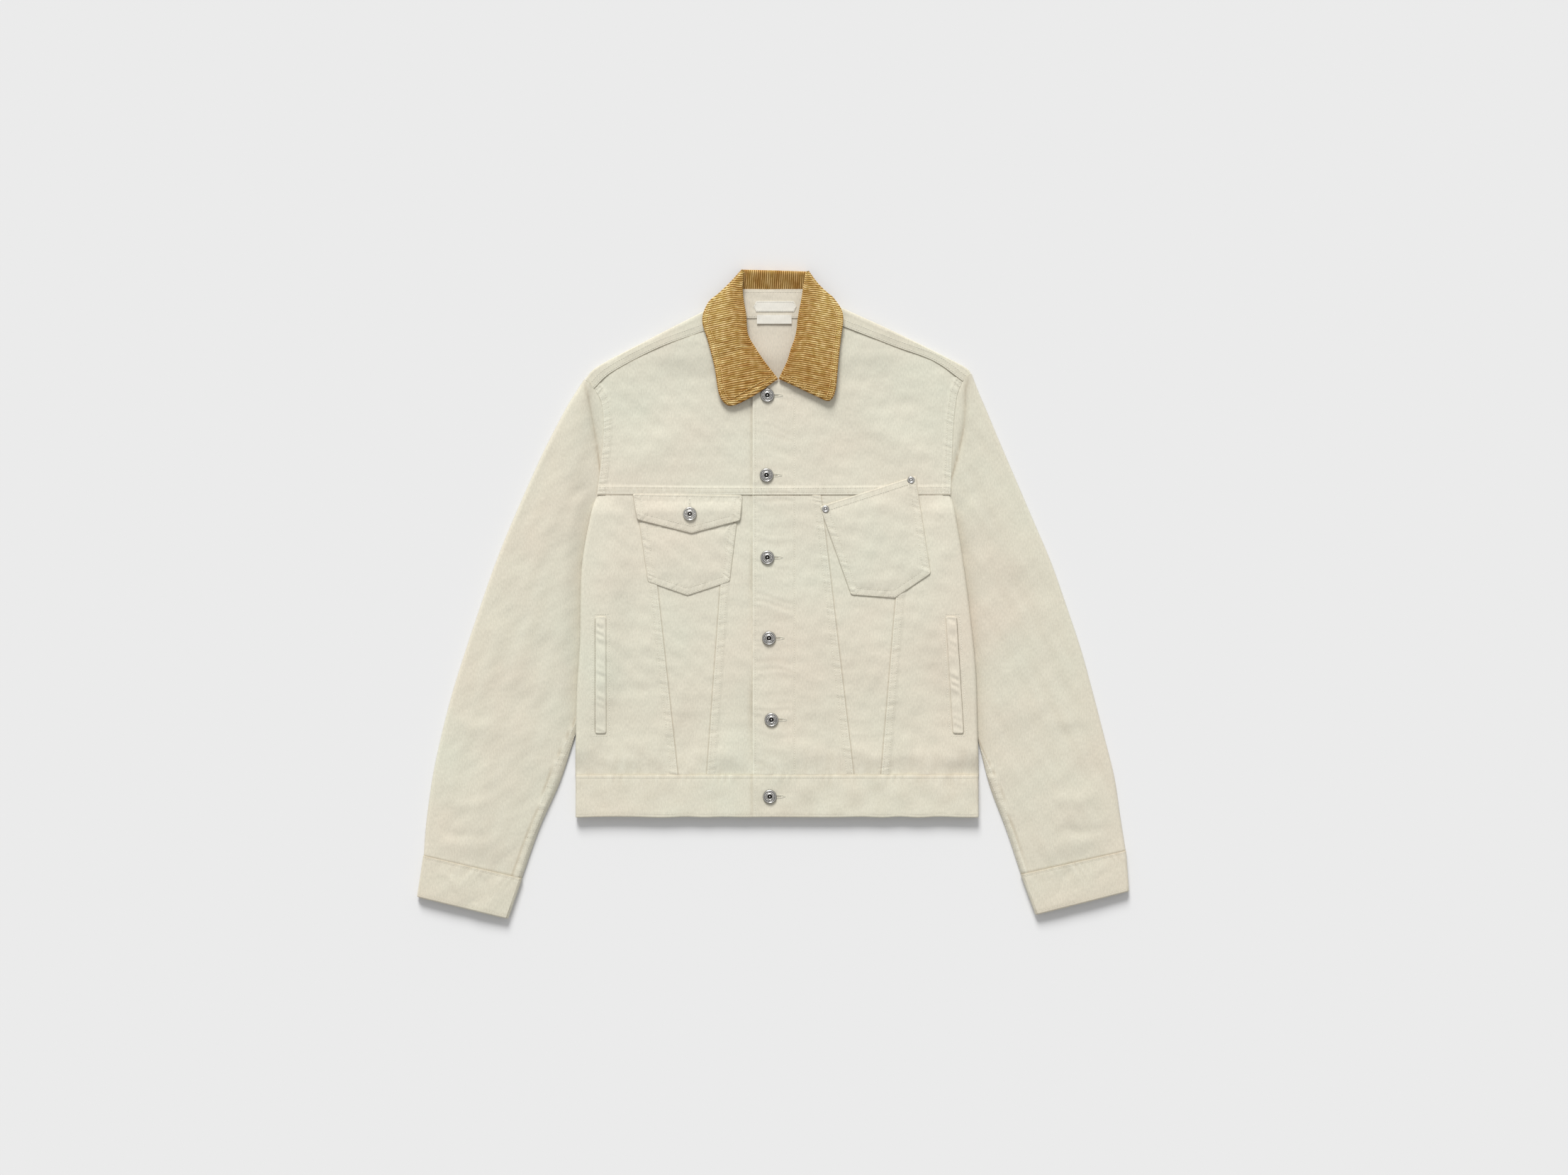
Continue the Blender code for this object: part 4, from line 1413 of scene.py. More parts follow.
@dataclass
class Sleeve:
    """Upper and under sleeve with the cuff at its end."""

    jacket: Jacket
    pattern: SidePattern
    crown: float = 5.25
    puff: float = 3.2
    cuff_height: float = 10.6

    def build(self) -> None:
        """Build and sew the sleeve."""
        self._upper()
        self._under()
        self._cuff()

    def _rows(self, step: float) -> Array:
        """Stations down the sleeve at an even step."""
        line = curve(self.pattern.sleeve, 12)
        middle = (line[:, :2] + line[:, 2:4]) / 2
        run = reach(middle)
        where = np.linspace(0, run[-1], round(run[-1] / step) + 1)
        return np.stack([np.interp(where, run, line[:, k]) for k in range(5)], axis=1)

    def _upper(self) -> None:
        """Upper sleeve, with its seams and creases."""
        p, sign = self.pattern, self.pattern.side.value
        rows = self._rows(2.7)
        ahead = rows[-1] - rows[-3]
        ahead /= np.linalg.norm(ahead[:2])
        ahead[4] = 0
        rows = np.vstack([rows, rows[-1] + 2.0 * ahead, rows[-1] + 4.0 * ahead])
        rows[:, 2] -= sign * 2.4 * smooth(112, 126, rows[:, 3])
        start, stop, free = rows[:, :2], rows[:, 2:4], rows[:, 4:5]
        left_over = reach((start + stop) / 2)
        left_over = (left_over[-1] - left_over)[:, None]
        width = np.linalg.norm(stop - start, axis=1)
        edge = (0, 0.12, 0.45, 1, 1.8, 2.8, 4.2, 6, 8.5, 12)
        d = spread(width, edge, edge, 42)
        u = d / width[:, None]
        plan = start[:, None] + u[..., None] * (stop - start)[:, None]
        x, y = plan[..., 0], plan[..., 1]
        crown = self.crown + self.puff * np.sin(math.pi * np.clip(u, 0, 1)) ** 0.8
        crown = crown + (6.4 - crown) * smooth(34, 6, left_over)
        body = np.where(y > 124, x_on(p.armhole, y), x_on(p.side_edge, np.maximum(y, BAND_Y)))
        outside = (np.abs(x) - np.abs(body)) + np.where(y < BAND_Y, 60, 0)
        covered = 2.25 + (crown - 2.25) * smooth(-2, 24, outside)
        cap = crown + (FRONT + 0.05 - crown) * smooth(0.4, 1.0, u)
        shoulder = smooth(104, 130, y)
        height = covered * (1 - shoulder) + cap * shoulder
        height = np.where(y < BAND_Y, crown, height)
        creases = SLEEVE_CREASES[p.side]
        soft = sum(crease.relief(x, y) for crease in creases)
        away = np.minimum(d, width[:, None] - d)
        soft = soft + 0.45 * rumple(x, y, 80, 31 + sign) * smooth(0, 25, away)
        soft = soft + 0.2 * rumple(x, y, 26, 41 + sign) * smooth(0, 20, away)
        ridge = curve(p.ridge)
        lap = Lap.LEFT_HAND if sign < 0 else Lap.RIGHT_HAND
        seam = Seam(ridge, lap, rows=(2.0, 7.4), rise=1.15, pucker=0.45, seed=7.0)
        gate = smooth(8, 0, y - p.ridge[0][1])
        on_lap = smooth(-0.4, 0.4, near(ridge, x, y)[0] * lap.value)
        soft = soft + seam.relief(x, y, True) * gate * on_lap
        height = height + soft * smooth(0, 6, away)
        height = height - 0.9 * smooth(5.0, 3.6, left_over)
        end = fold(width[:, None] - d, 4.5)
        roll = fold(d, 4.5) * (1 - free * (1 - end))
        z = RIM + (height - RIM) * roll
        # Painted shade and highlight of the ridge seam.
        dye = seam.dye(x, y, True) * gate
        # Painted shade on the sleeve beside the body's edge.
        dye = dye - 0.55 * hill(np.maximum(outside, 0), 9) * smooth(112, 90, y) * (y > -215)
        # Painted shade in the armhole crease, deeper towards its lower end.
        armhole = creases[0]
        away_hole, along = near(curve(armhole.points, 5), x, y)
        hole = hill(away_hole, 1.3) * smooth(0, 12, along)
        dye = dye - (0.6 + 0.8 * smooth(50, 110, along)) * hole
        dye = dye - 0.35 * hill(away_hole, 5)
        # Painted shade where the sleeve steps down at its end by the cuff; the whole sleeve also a little
        # darker.
        dye = dye - 0.8 * hill(left_over - 4.5, 1.6) - 0.2
        # Soft streaks of painted light and shade down the sleeve.
        streak = rumple(0.35 * (x + sign * 0.42 * y), 0.04 * y, 7, 29)
        dye = dye + 0.08 * streak * smooth(0, 12, away)
        grid = np.stack([x, y, z], axis=-1)
        if sign > 0:
            grid, dye = grid[:, ::-1], dye[:, ::-1]
        name = "sleeve_upper_" + p.side.word
        self.jacket.add(name, grid, TWILL, ["sleeve_under_" + p.side.word], shade=dye)
        for line in seam.stitches():
            self.jacket.cloth.sew(line, self.jacket.some(name))

    def _under(self) -> None:
        """Under sleeve, flat on the floor."""
        rows = self._rows(8)
        u = np.linspace(0.02, 0.98, 20)
        plan = rows[:, None, :2] + u[None, :, None] * (rows[:, None, 2:4] - rows[:, None, :2])
        z = np.full(plan.shape[:2], 0.62)
        grid = np.concatenate([plan, z[..., None]], axis=-1)
        if self.pattern.side is Side.RIGHT:
            grid = grid[:, ::-1]
        self.jacket.add("sleeve_under_" + self.pattern.side.word, grid, TWILL, [])

    def _cuff(self) -> None:
        """Cuff: a flattened ring of doubled cloth that stands open at its edge."""
        p, sign = self.pattern, self.pattern.side.value
        seam_out, seam_in, low_out, low_in = (np.array(corner, float) for corner in p.cuff)
        length = np.linalg.norm((low_out + low_in) / 2 - (seam_out + seam_in) / 2)
        down = graded(length, SEAM_STEPS[:12], 2.4)
        part = down / length
        low = BAND / 2
        angles = np.radians(np.linspace(-90, 90, 9))
        turn = np.linspace(0, 1, 62)[1:-1]
        path = []
        for angle in angles:
            path.append((0.0, 1 - math.cos(angle), math.sin(angle)))
        path += [(t, 0.0, 1.0) for t in turn]
        path += [(1.0, -(1 - math.cos(angle)), math.sin(angle)) for angle in angles[::-1]]
        path += [(t, 0.0, -1.0) for t in turn[::-1]]
        path = np.array(path)
        rows, grain, painted_shades = [], [], []
        for v, run in zip(part, down):
            outer = seam_out + (low_out - seam_out) * v
            inner = seam_in + (low_in - seam_in) * v
            across = np.linalg.norm(inner - outer)
            top = 7.3 + (self.cuff_height - BAND / 2 - 7.3) * v
            radius = (top - low) / 2 * 0.82
            u = path[:, 0] + path[:, 1] * radius / across
            xy = outer[None] + u[:, None] * (inner - outer)[None]
            bulge = np.sin(math.pi * np.clip(u, 0, 1)) ** 0.5
            high = low + radius * 2 + (top - low - 2 * radius) * bulge
            z = np.where(path[:, 2] > 0.999, high, low + radius * (1 + path[:, 2]))
            soft = sum(c.relief(xy[:, 0], xy[:, 1]) for c in SLEEVE_CREASES[p.side])
            crease = ripple(u * across + 0.6 * run, 12, 2.0 + sign)
            soft = soft + 0.4 * crease * bulge * math.exp(-run / 16)
            soft = soft + 0.4 * rumple(xy[:, 0], xy[:, 1], 30, 45) * bulge
            sunk = -0.18 * hill(run - 2.6, 0.8)
            sunk += -0.18 * hill(run - (length - 3.2), 0.8)
            step = 0.5 * smooth(-0.5, 0.6, run)
            z = z + np.where(path[:, 2] > 0.5, 1.0, 0.0) * (soft * bulge + sunk + step)
            edge = 1 - 0.12 * (1 - fold(np.array(length - run), 1.6))
            z = low + (z - low) * edge
            rows.append(np.column_stack([xy, z]))
            # The cuff a little darker overall; painted shade at its top seam under the sleeve's end and in
            # its needle rows, painted light and shade on its creases.
            tone = -0.35 - 0.9 * hill(run, 1.0) - 0.4 * hill(run - 2.6, 0.8)
            tone -= 0.4 * hill(run - (length - 3.2), 0.8)
            crest = 0.3 * ripple(u * across + 0.6 * run, 12, 2.0 + sign) * math.exp(-run / 16)
            painted_shades.append((tone + crest) * (path[:, 2] > 0.5))
            grain.append(np.column_stack([np.linspace(0, 2 * across, len(path)),
                                          np.full(len(path), run)]))
        grid, flat = np.array(rows), np.array(grain)
        name = "cuff_" + p.side.word
        self.jacket.add(name, grid, BAND * 0.8, ["sleeve_under_" + p.side.word], grain=flat,
                        ring=True, shade=np.array(painted_shades))
        cuff = self.jacket.some(name)
        for run in (2.6, length - 3.2):
            a = seam_out + (low_out - seam_out) * run / length
            b = seam_in + (low_in - seam_in) * run / length
            self.jacket.cloth.sew(chord(tuple(a), tuple(b)), cuff)


SLEEVE_CREASES = {
    Side.LEFT: (
        Crease(((-235, 265), (-230, 248), (-225, 221), (-218, 180), (-214, 147), (-215, 130)), -1.8, 3.5),
        Crease(((-262, 200), (-290, 130), (-320, 50)), -1.0, 9),
        Crease(((-250, 150), (-285, 60), (-300, 0)), 0.9, 10),
        Crease(((-330, 10), (-345, -60), (-372, -130)), 0.9, 11),
        Crease(((-270, -20), (-300, -100), (-330, -170)), -0.9, 10),
        Crease(((-400, -150), (-370, -165), (-330, -160)), 0.7, 9),
        Crease(((-415, -250), (-380, -262), (-330, -250)), 0.9, 9),
        Crease(((-420, -290), (-390, -300), (-350, -296)), -0.9, 7),
        Crease(((-350, -200), (-360, -250), (-372, -310)), 0.8, 9),
        Crease(((-425, -340), (-400, -352), (-380, -378)), 0.6, 5),
        Crease(((-370, -345), (-356, -362), (-350, -385)), -0.6, 5),
    ),
    Side.RIGHT: (
        Crease(((243, 271), (239, 254), (238, 221), (235, 197), (227, 164), (219, 136)), -2.4, 3.5),
        Crease(((262, 205), (292, 130), (320, 50)), -0.9, 9),
        Crease(((255, 150), (288, 60), (300, 0)), 0.9, 10),
        Crease(((330, 10), (348, -60), (372, -130)), 0.9, 11),
        Crease(((275, -20), (305, -100), (335, -170)), -0.9, 10),
        Crease(((400, -150), (370, -160), (335, -156)), 0.7, 9),
        Crease(((415, -240), (380, -256), (335, -250)), 0.9, 9),
        Crease(((420, -285), (390, -296), (350, -290)), -0.9, 7),
        Crease(((355, -200), (362, -250), (372, -305)), 0.8, 9),
        Crease(((425, -332), (400, -345), (382, -372)), 0.6, 5),
        Crease(((370, -340), (358, -358), (350, -380)), -0.6, 5),
    ),
}


@dataclass
class Waistband:
    """Strip of doubled cloth round the hem, its front ends overlapping."""

    jacket: Jacket
    front: float = 7.4
    over: float = 9.0
    hem: float = 9.8

    def build(self) -> None:
        """Build and sew the waistband."""
        low = BAND / 2
        left = LEFT.side_edge[-1][0] + BAND / 2
        right = RIGHT.side_edge[-1][0] - BAND / 2
        radius = (self.front - low) / 2
        line = [(x, self.front) for x in np.arange(14, left + radius, -2.2)]
        for angle in np.radians(np.arange(80, -81, -16)):
            line.append((left + radius * (1 - math.cos(angle)), low + radius * (1 + math.sin(angle))))
        line += [(x, low) for x in np.arange(left + radius, right - radius, 6)]
        for angle in np.radians(np.arange(-80, 81, 16)):
            line.append((right - radius * (1 - math.cos(angle)), low + radius * (1 + math.sin(angle))))
        line += [(x, self.front + (self.over - self.front) * float(smooth(75, 24, x)))
                 for x in np.arange(right - radius, -25, -2.2)]
        line.append((-25.6, self.over - 0.15))
        path = np.array(line)
        height = BAND_Y - HEM_Y
        down = np.concatenate([[-1.4], graded(height, SEAM_STEPS[:12], 2.3)])
        x = np.repeat(path[None, :, 0], len(down), axis=0)
        y = BAND_Y - np.repeat(down[:, None], len(path), axis=1)
        z = np.repeat(path[None, :, 1], len(down), axis=0)
        upper = smooth(low + 1.5, self.front - 0.4, z)
        run = np.repeat(down[:, None], len(path), axis=1)
        part = np.clip(run / height, 0, 1)
        soft = 0.4 * ripple(x + 0.15 * run, 13, 3.0) * hill(run - 3, 9)
        soft = soft + 0.25 * ripple(x, 10, 4.4) * hill(run - height, 8)
        soft = soft + 0.6 * rumple(x, 1.4 * y, 48, 51) * np.sin(math.pi * part)
        sunk = -0.18 * hill(run - 3.5, 0.8) - 0.18 * hill(run - height + 2.8, 0.8)
        step = 0.45 * smooth(-0.4, 0.5, run)
        lift = (self.hem - z) * part
        z = z + upper * (soft + sunk + step + lift)
        z = z - upper * (0.5 * (1 - fold(height - run, 1.4)) + 0.8 * (1 - fold(run, 1.6)))
        # The band a little darker overall; painted shade along its top seam and in its needle rows.
        dye = -0.3 - 0.8 * hill(run, 1.1) - 0.35 * hill(run - 3.5, 0.8)
        dye = dye - 0.35 * hill(run - height + 2.8, 0.8)
        # Painted light and shade on the puckers, uneven patches, and a painted shadow beside the front
        # edge.
        dye = dye + 0.2 * ripple(x + 0.15 * run, 13, 3.0) * hill(run - 3, 9)
        dye = dye + 0.12 * rumple(x, 1.6 * y, 30, 53) - 1.0 * hill(x + 26.6, 1.1)
        y = y + 0.6 * part * ripple(x, 70, 2.0)
        grid = np.stack([x, y, z], axis=-1)
        along = np.concatenate([[0], np.cumsum(np.linalg.norm(np.diff(path, axis=0), axis=1))])
        flat = np.stack([np.repeat(along[None], len(down), axis=0), -run], axis=-1)
        self.jacket.add("waistband", grid, BAND * 0.8, [], grain=flat, shade=dye)
        band = self.jacket.some("waistband")
        for run_at in (3.5, height - 2.8):
            row = BAND_Y - run_at
            self.jacket.cloth.sew(chord((left + 3, row), (-26.5, row)), band)
            self.jacket.cloth.sew(chord((-22, BAND_Y - run_at), (right - 3, BAND_Y - run_at)), band)
        edge = FRONT_ROWS[0]
        self.jacket.cloth.sew(chord((edge, BAND_Y - 4), (edge, HEM_Y + 3)), band)


@dataclass
class Back:
    """Back yoke that turns over the shoulders, and three panels under it."""

    jacket: Jacket

    def build(self) -> None:
        """Build the back."""
        self._yoke()
        self._panels()

    def _yoke(self) -> None:
        """One sheet under the shoulders, over their fold, to the forward seams."""
        lay = self.jacket.lay
        top = FRONT + 0.75
        columns = []
        for pattern in (LEFT, RIGHT):
            sign = pattern.side.value
            fold_line, seam = curve(pattern.shoulder_fold), curve(pattern.shoulder_seam)
            arm = [(x - sign, y) for x, y in curve(pattern.armhole) if y > BACK_YOKE_Y]
            half = []
            for part in np.linspace(0, 1, 56):
                f, s = at(fold_line, part), at(seam, part)
                f = f - np.array([sign * (1 - part), 0])
                inward = (s - f) / np.linalg.norm(s - f)
                foot = np.array([np.interp(part, [0, 1], [arm[-1][0], sign * 62]), BACK_YOKE_Y])
                base = float(lay.bed(*f)) + TWILL / 2
                under = [foot + (f - foot) * t for t in np.linspace(0, 1, 34)[:-1]]
                if part == 0:
                    side_line = np.array([(arm[-1][0], BACK_YOKE_Y)] + arm[::-1] + [tuple(f)])
                    under = list(at(side_line, np.linspace(0, 1, 34)[:-1]))
                column = [(*q, float(lay.bed(*q)) + TWILL / 2) for q in under]
                radius = (top - base + float(lay.bed(*f))) / 2
                for angle in np.radians(np.linspace(-90, 90, 11)):
                    out = radius * 0.8 * (1 - math.cos(angle))
                    column.append((*(f + inward * out), base + radius * (1 + math.sin(angle))))
                room = f + inward * radius * 0.05
                for t in (0.12, 0.25, 0.4, 0.55, 0.68, 0.78, 0.86, 0.92, 0.96, 1.0):
                    q = room + (s - room) * t
                    column.append((*q, base + 2 * radius))
                half.append(column)
            columns.append(half)
        neck = []
        for x in np.linspace(-62, 62, 42)[1:-1]:
            under = [(x, BACK_YOKE_Y + (NECK_Y - BACK_YOKE_Y) * t) for t in np.linspace(0, 1, 34)]
            neck.append([(*q, float(lay.bed(*q)) + TWILL / 2) for q in under])
        left, right = np.array(columns[0]), np.array(columns[1][::-1])
        self._join(left, np.array(neck), right)

    def _join(self, left: Array, neck: Array, right: Array) -> None:
        """Join the shoulders and the neck into one closed sheet.

        Args:
            left: left shoulder's columns.
            neck: columns of the inside of the neck, which stop at the collar seam.
            right: right shoulder's columns.
        """
        short = neck.shape[1]
        whole = np.concatenate([left[:, :short], neck, right[:, :short]])
        grid = whole.transpose(1, 0, 2)
        soft = 0.35 * rumple(grid[..., 0], grid[..., 1], 45, 61)
        soft *= smooth(BACK_YOKE_Y, BACK_YOKE_Y + 40, grid[..., 1])
        soft *= smooth(90, 60, np.abs(grid[..., 0]))
        grid[..., 2] += np.maximum(soft, -0.2)
        main = make_sheet("back_yoke_main", grid, TWILL)
        extra = []
        for side, word in ((left, "left"), (right, "right")):
            part = side[:, short - 1:].transpose(1, 0, 2)
            x, y = part[..., 0], part[..., 1]
            pattern = LEFT if word == "left" else RIGHT
            away, _ = near(curve(pattern.shoulder_seam), x, y)
            away = np.abs(away)
            on_top = np.zeros(part.shape[0])
            on_top[11:] = 1
            rise = 0.45 * (1 - smooth(8.5, 11, away)) * on_top[:, None]
            rise = rise + 0.3 * rumple(x, y, 40, 71) * smooth(0, 10, away) * on_top[:, None]
            part = part.copy()
            part[..., 2] += rise + 0.45 * on_top[:, None]
            flat = np.stack([x, y + 0.5 * part[..., 2]], axis=-1)
            extra.append(make_sheet("back_yoke_" + word, part, TWILL, grain=flat))
        whole_area = float(main["cut_area"]) + sum(float(item["cut_area"]) for item in extra)
        yoke = join([main] + extra, "back_yoke_cloth")
        yoke["cut_area"] = whole_area
        yoke.data.materials.clear()
        yoke.data.materials.append(self.jacket.finishes.face)
        yoke.data.materials.append(self.jacket.finishes.inside)
        lay = self.jacket.lay
        centres = np.array([tuple(f.center) for f in yoke.data.polygons]) / MM
        ups = np.array([f.normal.z for f in yoke.data.polygons])
        inner = (ups > 0.3) & (centres[:, 2] < lay.bed(centres[:, 0], centres[:, 1]) + 2.2)
        yoke.data.polygons.foreach_set("material_index", inner.astype(int))
        # Painted shade darkens the yoke over the shoulders; inside the neck it is only a little darker.
        across = np.array([v.co.x for v in yoke.data.vertices]) / MM
        layer = yoke.data.attributes.new("Dye", "FLOAT", "POINT")
        layer.data.foreach_set("value", np.where(np.abs(across) > 64, -0.3, -0.08).astype(np.float32))
        declare("back_yoke")
        self.jacket.pieces["back_yoke"] = yoke
        for pattern in (LEFT, RIGHT):
            hand = 1 if pattern.side is Side.LEFT else -1
            for row in (2.2, 7.8):
                line = beside(curve(pattern.shoulder_seam), hand * row)
                self.jacket.cloth.sew(line, [yoke])

    def _panels(self) -> None:
        """Side and centre panels of the back, on the floor and over the sleeves."""
        lay = self.jacket.lay
        y = np.concatenate([[BACK_YOKE_Y + TUCK], BACK_YOKE_Y - graded(BACK_YOKE_Y - BAND_Y,
                                                                      SEAM_STEPS[:8], 7)])
        half = 105 + (70 - 105) * (BACK_YOKE_Y - y) / (BACK_YOKE_Y - BAND_Y)
        for pattern in (LEFT, RIGHT):
            sign = pattern.side.value
            high, low = x_on(pattern.armhole, y), x_on(pattern.side_edge, np.minimum(y, 124))
            start = np.where(y > 124, high, low) - sign * 2.2
            stop = sign * (half + 0.1)
            d = spread(np.abs(stop - start), (0, 2, 5, 9), (0, 1, 3, 6), 20)
            x = start[:, None] - sign * d
            yy = y[:, None] + 0 * x
            grid = np.stack([x, yy, lay.bed(x, yy) + TWILL / 2], axis=-1)
            if sign > 0:
                grid = grid[:, ::-1]
            self.jacket.add("back_side_" + pattern.side.word, grid, TWILL,
                            ["sleeve_upper_" + pattern.side.word])
        u = np.linspace(-1, 1, 30)
        x = (half - 0.1)[:, None] * u[None]
        yy = y[:, None] + 0 * x
        grid = np.stack([x, yy, 0 * x + TWILL / 2], axis=-1)
        self.jacket.add("back_centre", grid, TWILL, [])


def join(things: Sequence[Thing], name: str) -> Thing:
    """Join objects into one mesh.

    Args:
        things: the objects; they are used up.
        name: the joined piece's name.

    Returns:
        The joined object.
    """
    points, faces, grain, start = [], [], [], 0
    for thing in things:
        mesh = thing.data
        points.append(np.array([tuple(v.co) for v in mesh.vertices]) / MM)
        quad = np.array([tuple(f.vertices) for f in mesh.polygons])
        faces.append(quad + start)
        flat = np.zeros((len(mesh.vertices), 2))
        loops = np.empty(len(mesh.loops) * 2, dtype=np.float32)
        mesh.uv_layers["Grain"].data.foreach_get("uv", loops)
        corner = np.empty(len(mesh.loops), dtype=np.int32)
        mesh.loops.foreach_get("vertex_index", corner)
        flat[corner] = loops.reshape(-1, 2) / MM
        grain.append(flat)
        start += len(mesh.vertices)
        bpy.data.objects.remove(thing, do_unlink=True)
        bpy.data.meshes.remove(mesh)
    return make_mesh(name, np.vstack(points), np.vstack(faces), np.vstack(grain))


def round_corner(plan: Array, corner: Array, first: Array, second: Array,
                 radius: float) -> Array:
    """Round a corner of a flat piece.

    Args:
        plan: places of the piece.
        corner: the sharp corner.
        first: a place on one of its edges.
        second: a place on the other.
        radius: how far from the corner the edges start to bend.

    Returns:
        The places, moved.
    """
    base, rise = first - corner, second - corner
    base, rise = base / np.linalg.norm(base), rise / np.linalg.norm(rise)
    turn = np.linalg.inv(np.column_stack([base, rise]))
    share = 1 - (plan - corner) @ turn.T / radius
    p, q = share[..., 0], share[..., 1]
    both = (p > 0) & (q > 0) & (p < 1.2) & (q < 1.2)
    p, q = np.clip(p, 0, 1), np.clip(q, 0, 1)
    pp, qq = p * np.sqrt(1 - q**2 / 2), q * np.sqrt(1 - p**2 / 2)
    moved = corner + radius * ((1 - pp)[..., None] * base + (1 - qq)[..., None] * rise)
    return np.where(both[..., None], moved, plan)


@dataclass
class Collar:
    """Corduroy collar: the back stand with its fall, and two leaves."""

    jacket: Jacket
    relief: float = 0.4

    def build(self) -> None:
        """Build and sew the collar."""
        self._back()
        for pattern in (LEFT, RIGHT):
            self._leaf(pattern)

    def _rib(self, across: Array) -> Array:
        """Height of the wales at places across them."""
        return self.relief * (np.abs(np.sin(math.pi * across / WALE)) ** 0.75 - 0.5)

    def _back(self) -> None:
        """Stand above the neck seam, turned at its top, with the fall beneath."""
        radius, low = (CORD + 0.6) / 2, CORD / 2
        columns, flat = [], []
        for u in np.linspace(0, 1, 200):
            seam = np.array([-40 + 80 * u, NECK_Y - 1.2])
            crest = np.array([-38 + 79 * u, 402.3 - 2.3 * u - CORD / 2])
            outer = np.array([-84 + 166 * u, 340 - 6 * math.sin(math.pi * u)])
            lean = 1.4 * math.sin(math.pi * u)
            column = []
            for t in np.linspace(0, 1, 9)[:-1]:
                q = seam + (crest - np.array([0, radius]) - seam) * t
                column.append((*q, low + 2 * radius - 0.6 + (lean + 5.5) * t))
            for angle in np.radians(np.linspace(90, -90, 9)):
                column.append((crest[0], crest[1] - radius * (1 - math.cos(angle)),
                               low + radius + radius * math.sin(angle)
                               + (lean + 4.9) * (1 + math.sin(angle)) / 2))
            for t in (0.15, 0.35, 0.55, 0.75, 0.9, 1.0):
                column.append((*(crest + (outer - crest) * t), low))
            columns.append(column)
            flat.append([(float(k), u * 80 + 0.4) for k in range(len(column))])
        grid = np.array(columns).transpose(1, 0, 2)
        grain = np.array(flat).transpose(1, 0, 2)
        # The stand faces away from the light: painted shade darkens it, with uneven patches.
        self.jacket.add("collar_back", grid, CORD * 0.8, [], self.jacket.finishes.corduroy,
                        "ochre_corduroy", grain, np.maximum(self._rib(grain[..., 1]), -0.3),
                        shade=-0.45 + 0.3 * rumple(grid[..., 0], grid[..., 1], 20, 65))

    def _leaf(self, pattern: SidePattern) -> None:
        """One leaf: hidden neck seam, roll and outer edge, lifting off the front at its tip."""
        jacket, sign = self.jacket, pattern.side.value
        front = jacket.lay.front(pattern.side)
        line = curve(pattern.leaf, 10)
        run = reach((line[:, 2:4] + line[:, 4:6]) / 2)
        where = np.linspace(0, run[-1], 310)
        line = np.stack([np.interp(where, run, line[:, k]) for k in range(6)], axis=1)
        part = where / run[-1]
        radius = (CORD + 0.9) / 2
        rows, flat = [], []
        tilt = math.radians(pattern.wale_slope) * -sign
        for v, (sx, sy, rx, ry, ox, oy) in zip(part, line):
            seam, roll, outer = np.array([sx, sy]), np.array([rx, ry]), np.array([ox, oy])
            across = outer - roll
            width = np.linalg.norm(across)
            toward = across / width
            base = max(float(front(*place)) for place in (seam, roll, outer)) + 2.3
            path = [(seam + (roll - seam) * t, 0.0, -1.0) for t in (0.0, 0.5)]
            for angle in np.radians(np.linspace(-90, 90, 13)):
                out = radius * (1 - math.cos(angle))
                path.append((roll + toward * out, radius * (1 + math.sin(angle)), out))
            for t in np.concatenate([np.linspace(0.05, 0.9, 38), np.linspace(0.91, 1.0, 12)]):
                d = max(radius, t * width)
                rise = 2 * radius + 1.1 * math.sin(math.pi * min(1, t * 1.2)) - 1.3 * t
                path.append((roll + toward * d, rise, d))
            points, grain = [], []
            tip = float(smooth(0.35, 0.0, v))
            for q, rise, d in path:
                lift = 1.6 * tip * max(0.0, d) / width
                edge = 0.7 * (1 - float(fold(np.array(max(width - d, 0.0)), 1.8)))
                points.append((q[0], q[1], base + rise + lift - edge * (d > radius)))
                bend = 3.4 * float(smooth(15, 0, max(d, 0.0)))
                s = q[1] * math.cos(tilt) + sign * q[0] * math.sin(tilt) * 1.0
                s = s + bend * (1 if rise > radius else 0) + (rise - 2 * radius) * (d <= radius)
                grain.append((q[0], s))
            rows.append(points)
            flat.append(grain)
        grid, grain = np.array(rows)[::-1], np.array(flat)[::-1]
        away = np.linalg.norm(grid[:, -1:, :2] - grid[..., :2], axis=-1)
        base_line = np.array([(line[0][2], line[0][3]), (line[0][4], line[0][5])])
        foot_away = np.abs(near(base_line, grid[..., 0], grid[..., 1])[0])
        rim = np.minimum(away, foot_away)
        gutter = sum(-0.3 * hill(rim - row, 0.8) for row in (1.8, 7.2))
        flat_edge = smooth(0.2, 2.4, rim)
        rise = np.maximum(self._rib(grain[..., 1]) * flat_edge + gutter, -0.6)
        grid[..., 2] -= 0.8 * (1 - fold(foot_away, 2.0))
        if sign < 0:
            bow = 3.2 * np.sin(math.pi * np.clip(away / 66, 0, 1)) * smooth(26, 0, foot_away)
            grid[..., 1] -= bow
        grid[..., :2] = round_corner(grid[..., :2], line[0, 4:6], line[0, 2:4], line[14, 4:6], 7.5)
        up = np.linspace(1, 0, len(rows))[:, None]
        from_roll = np.linalg.norm(grid[..., :2] - grid[:, 9:10, :2], axis=-1)
        # Painted light on the upper outer part of the leaf, painted shade along the roll and over its
        # lower part.
        dye = 0.75 * smooth(0.35, 0.95, up) * smooth(6, 34, from_roll)
        dye = dye - 0.7 * hill(from_roll, 12) * smooth(1.0, 0.6, up)
        dye = dye - 0.4 * smooth(0.45, 0.1, up) * smooth(4, 20, from_roll)
        # Uneven streaks along the wales.
        dye = dye + 0.4 * rumple(grain[..., 0], 2.6 * grain[..., 1], 22, 63)
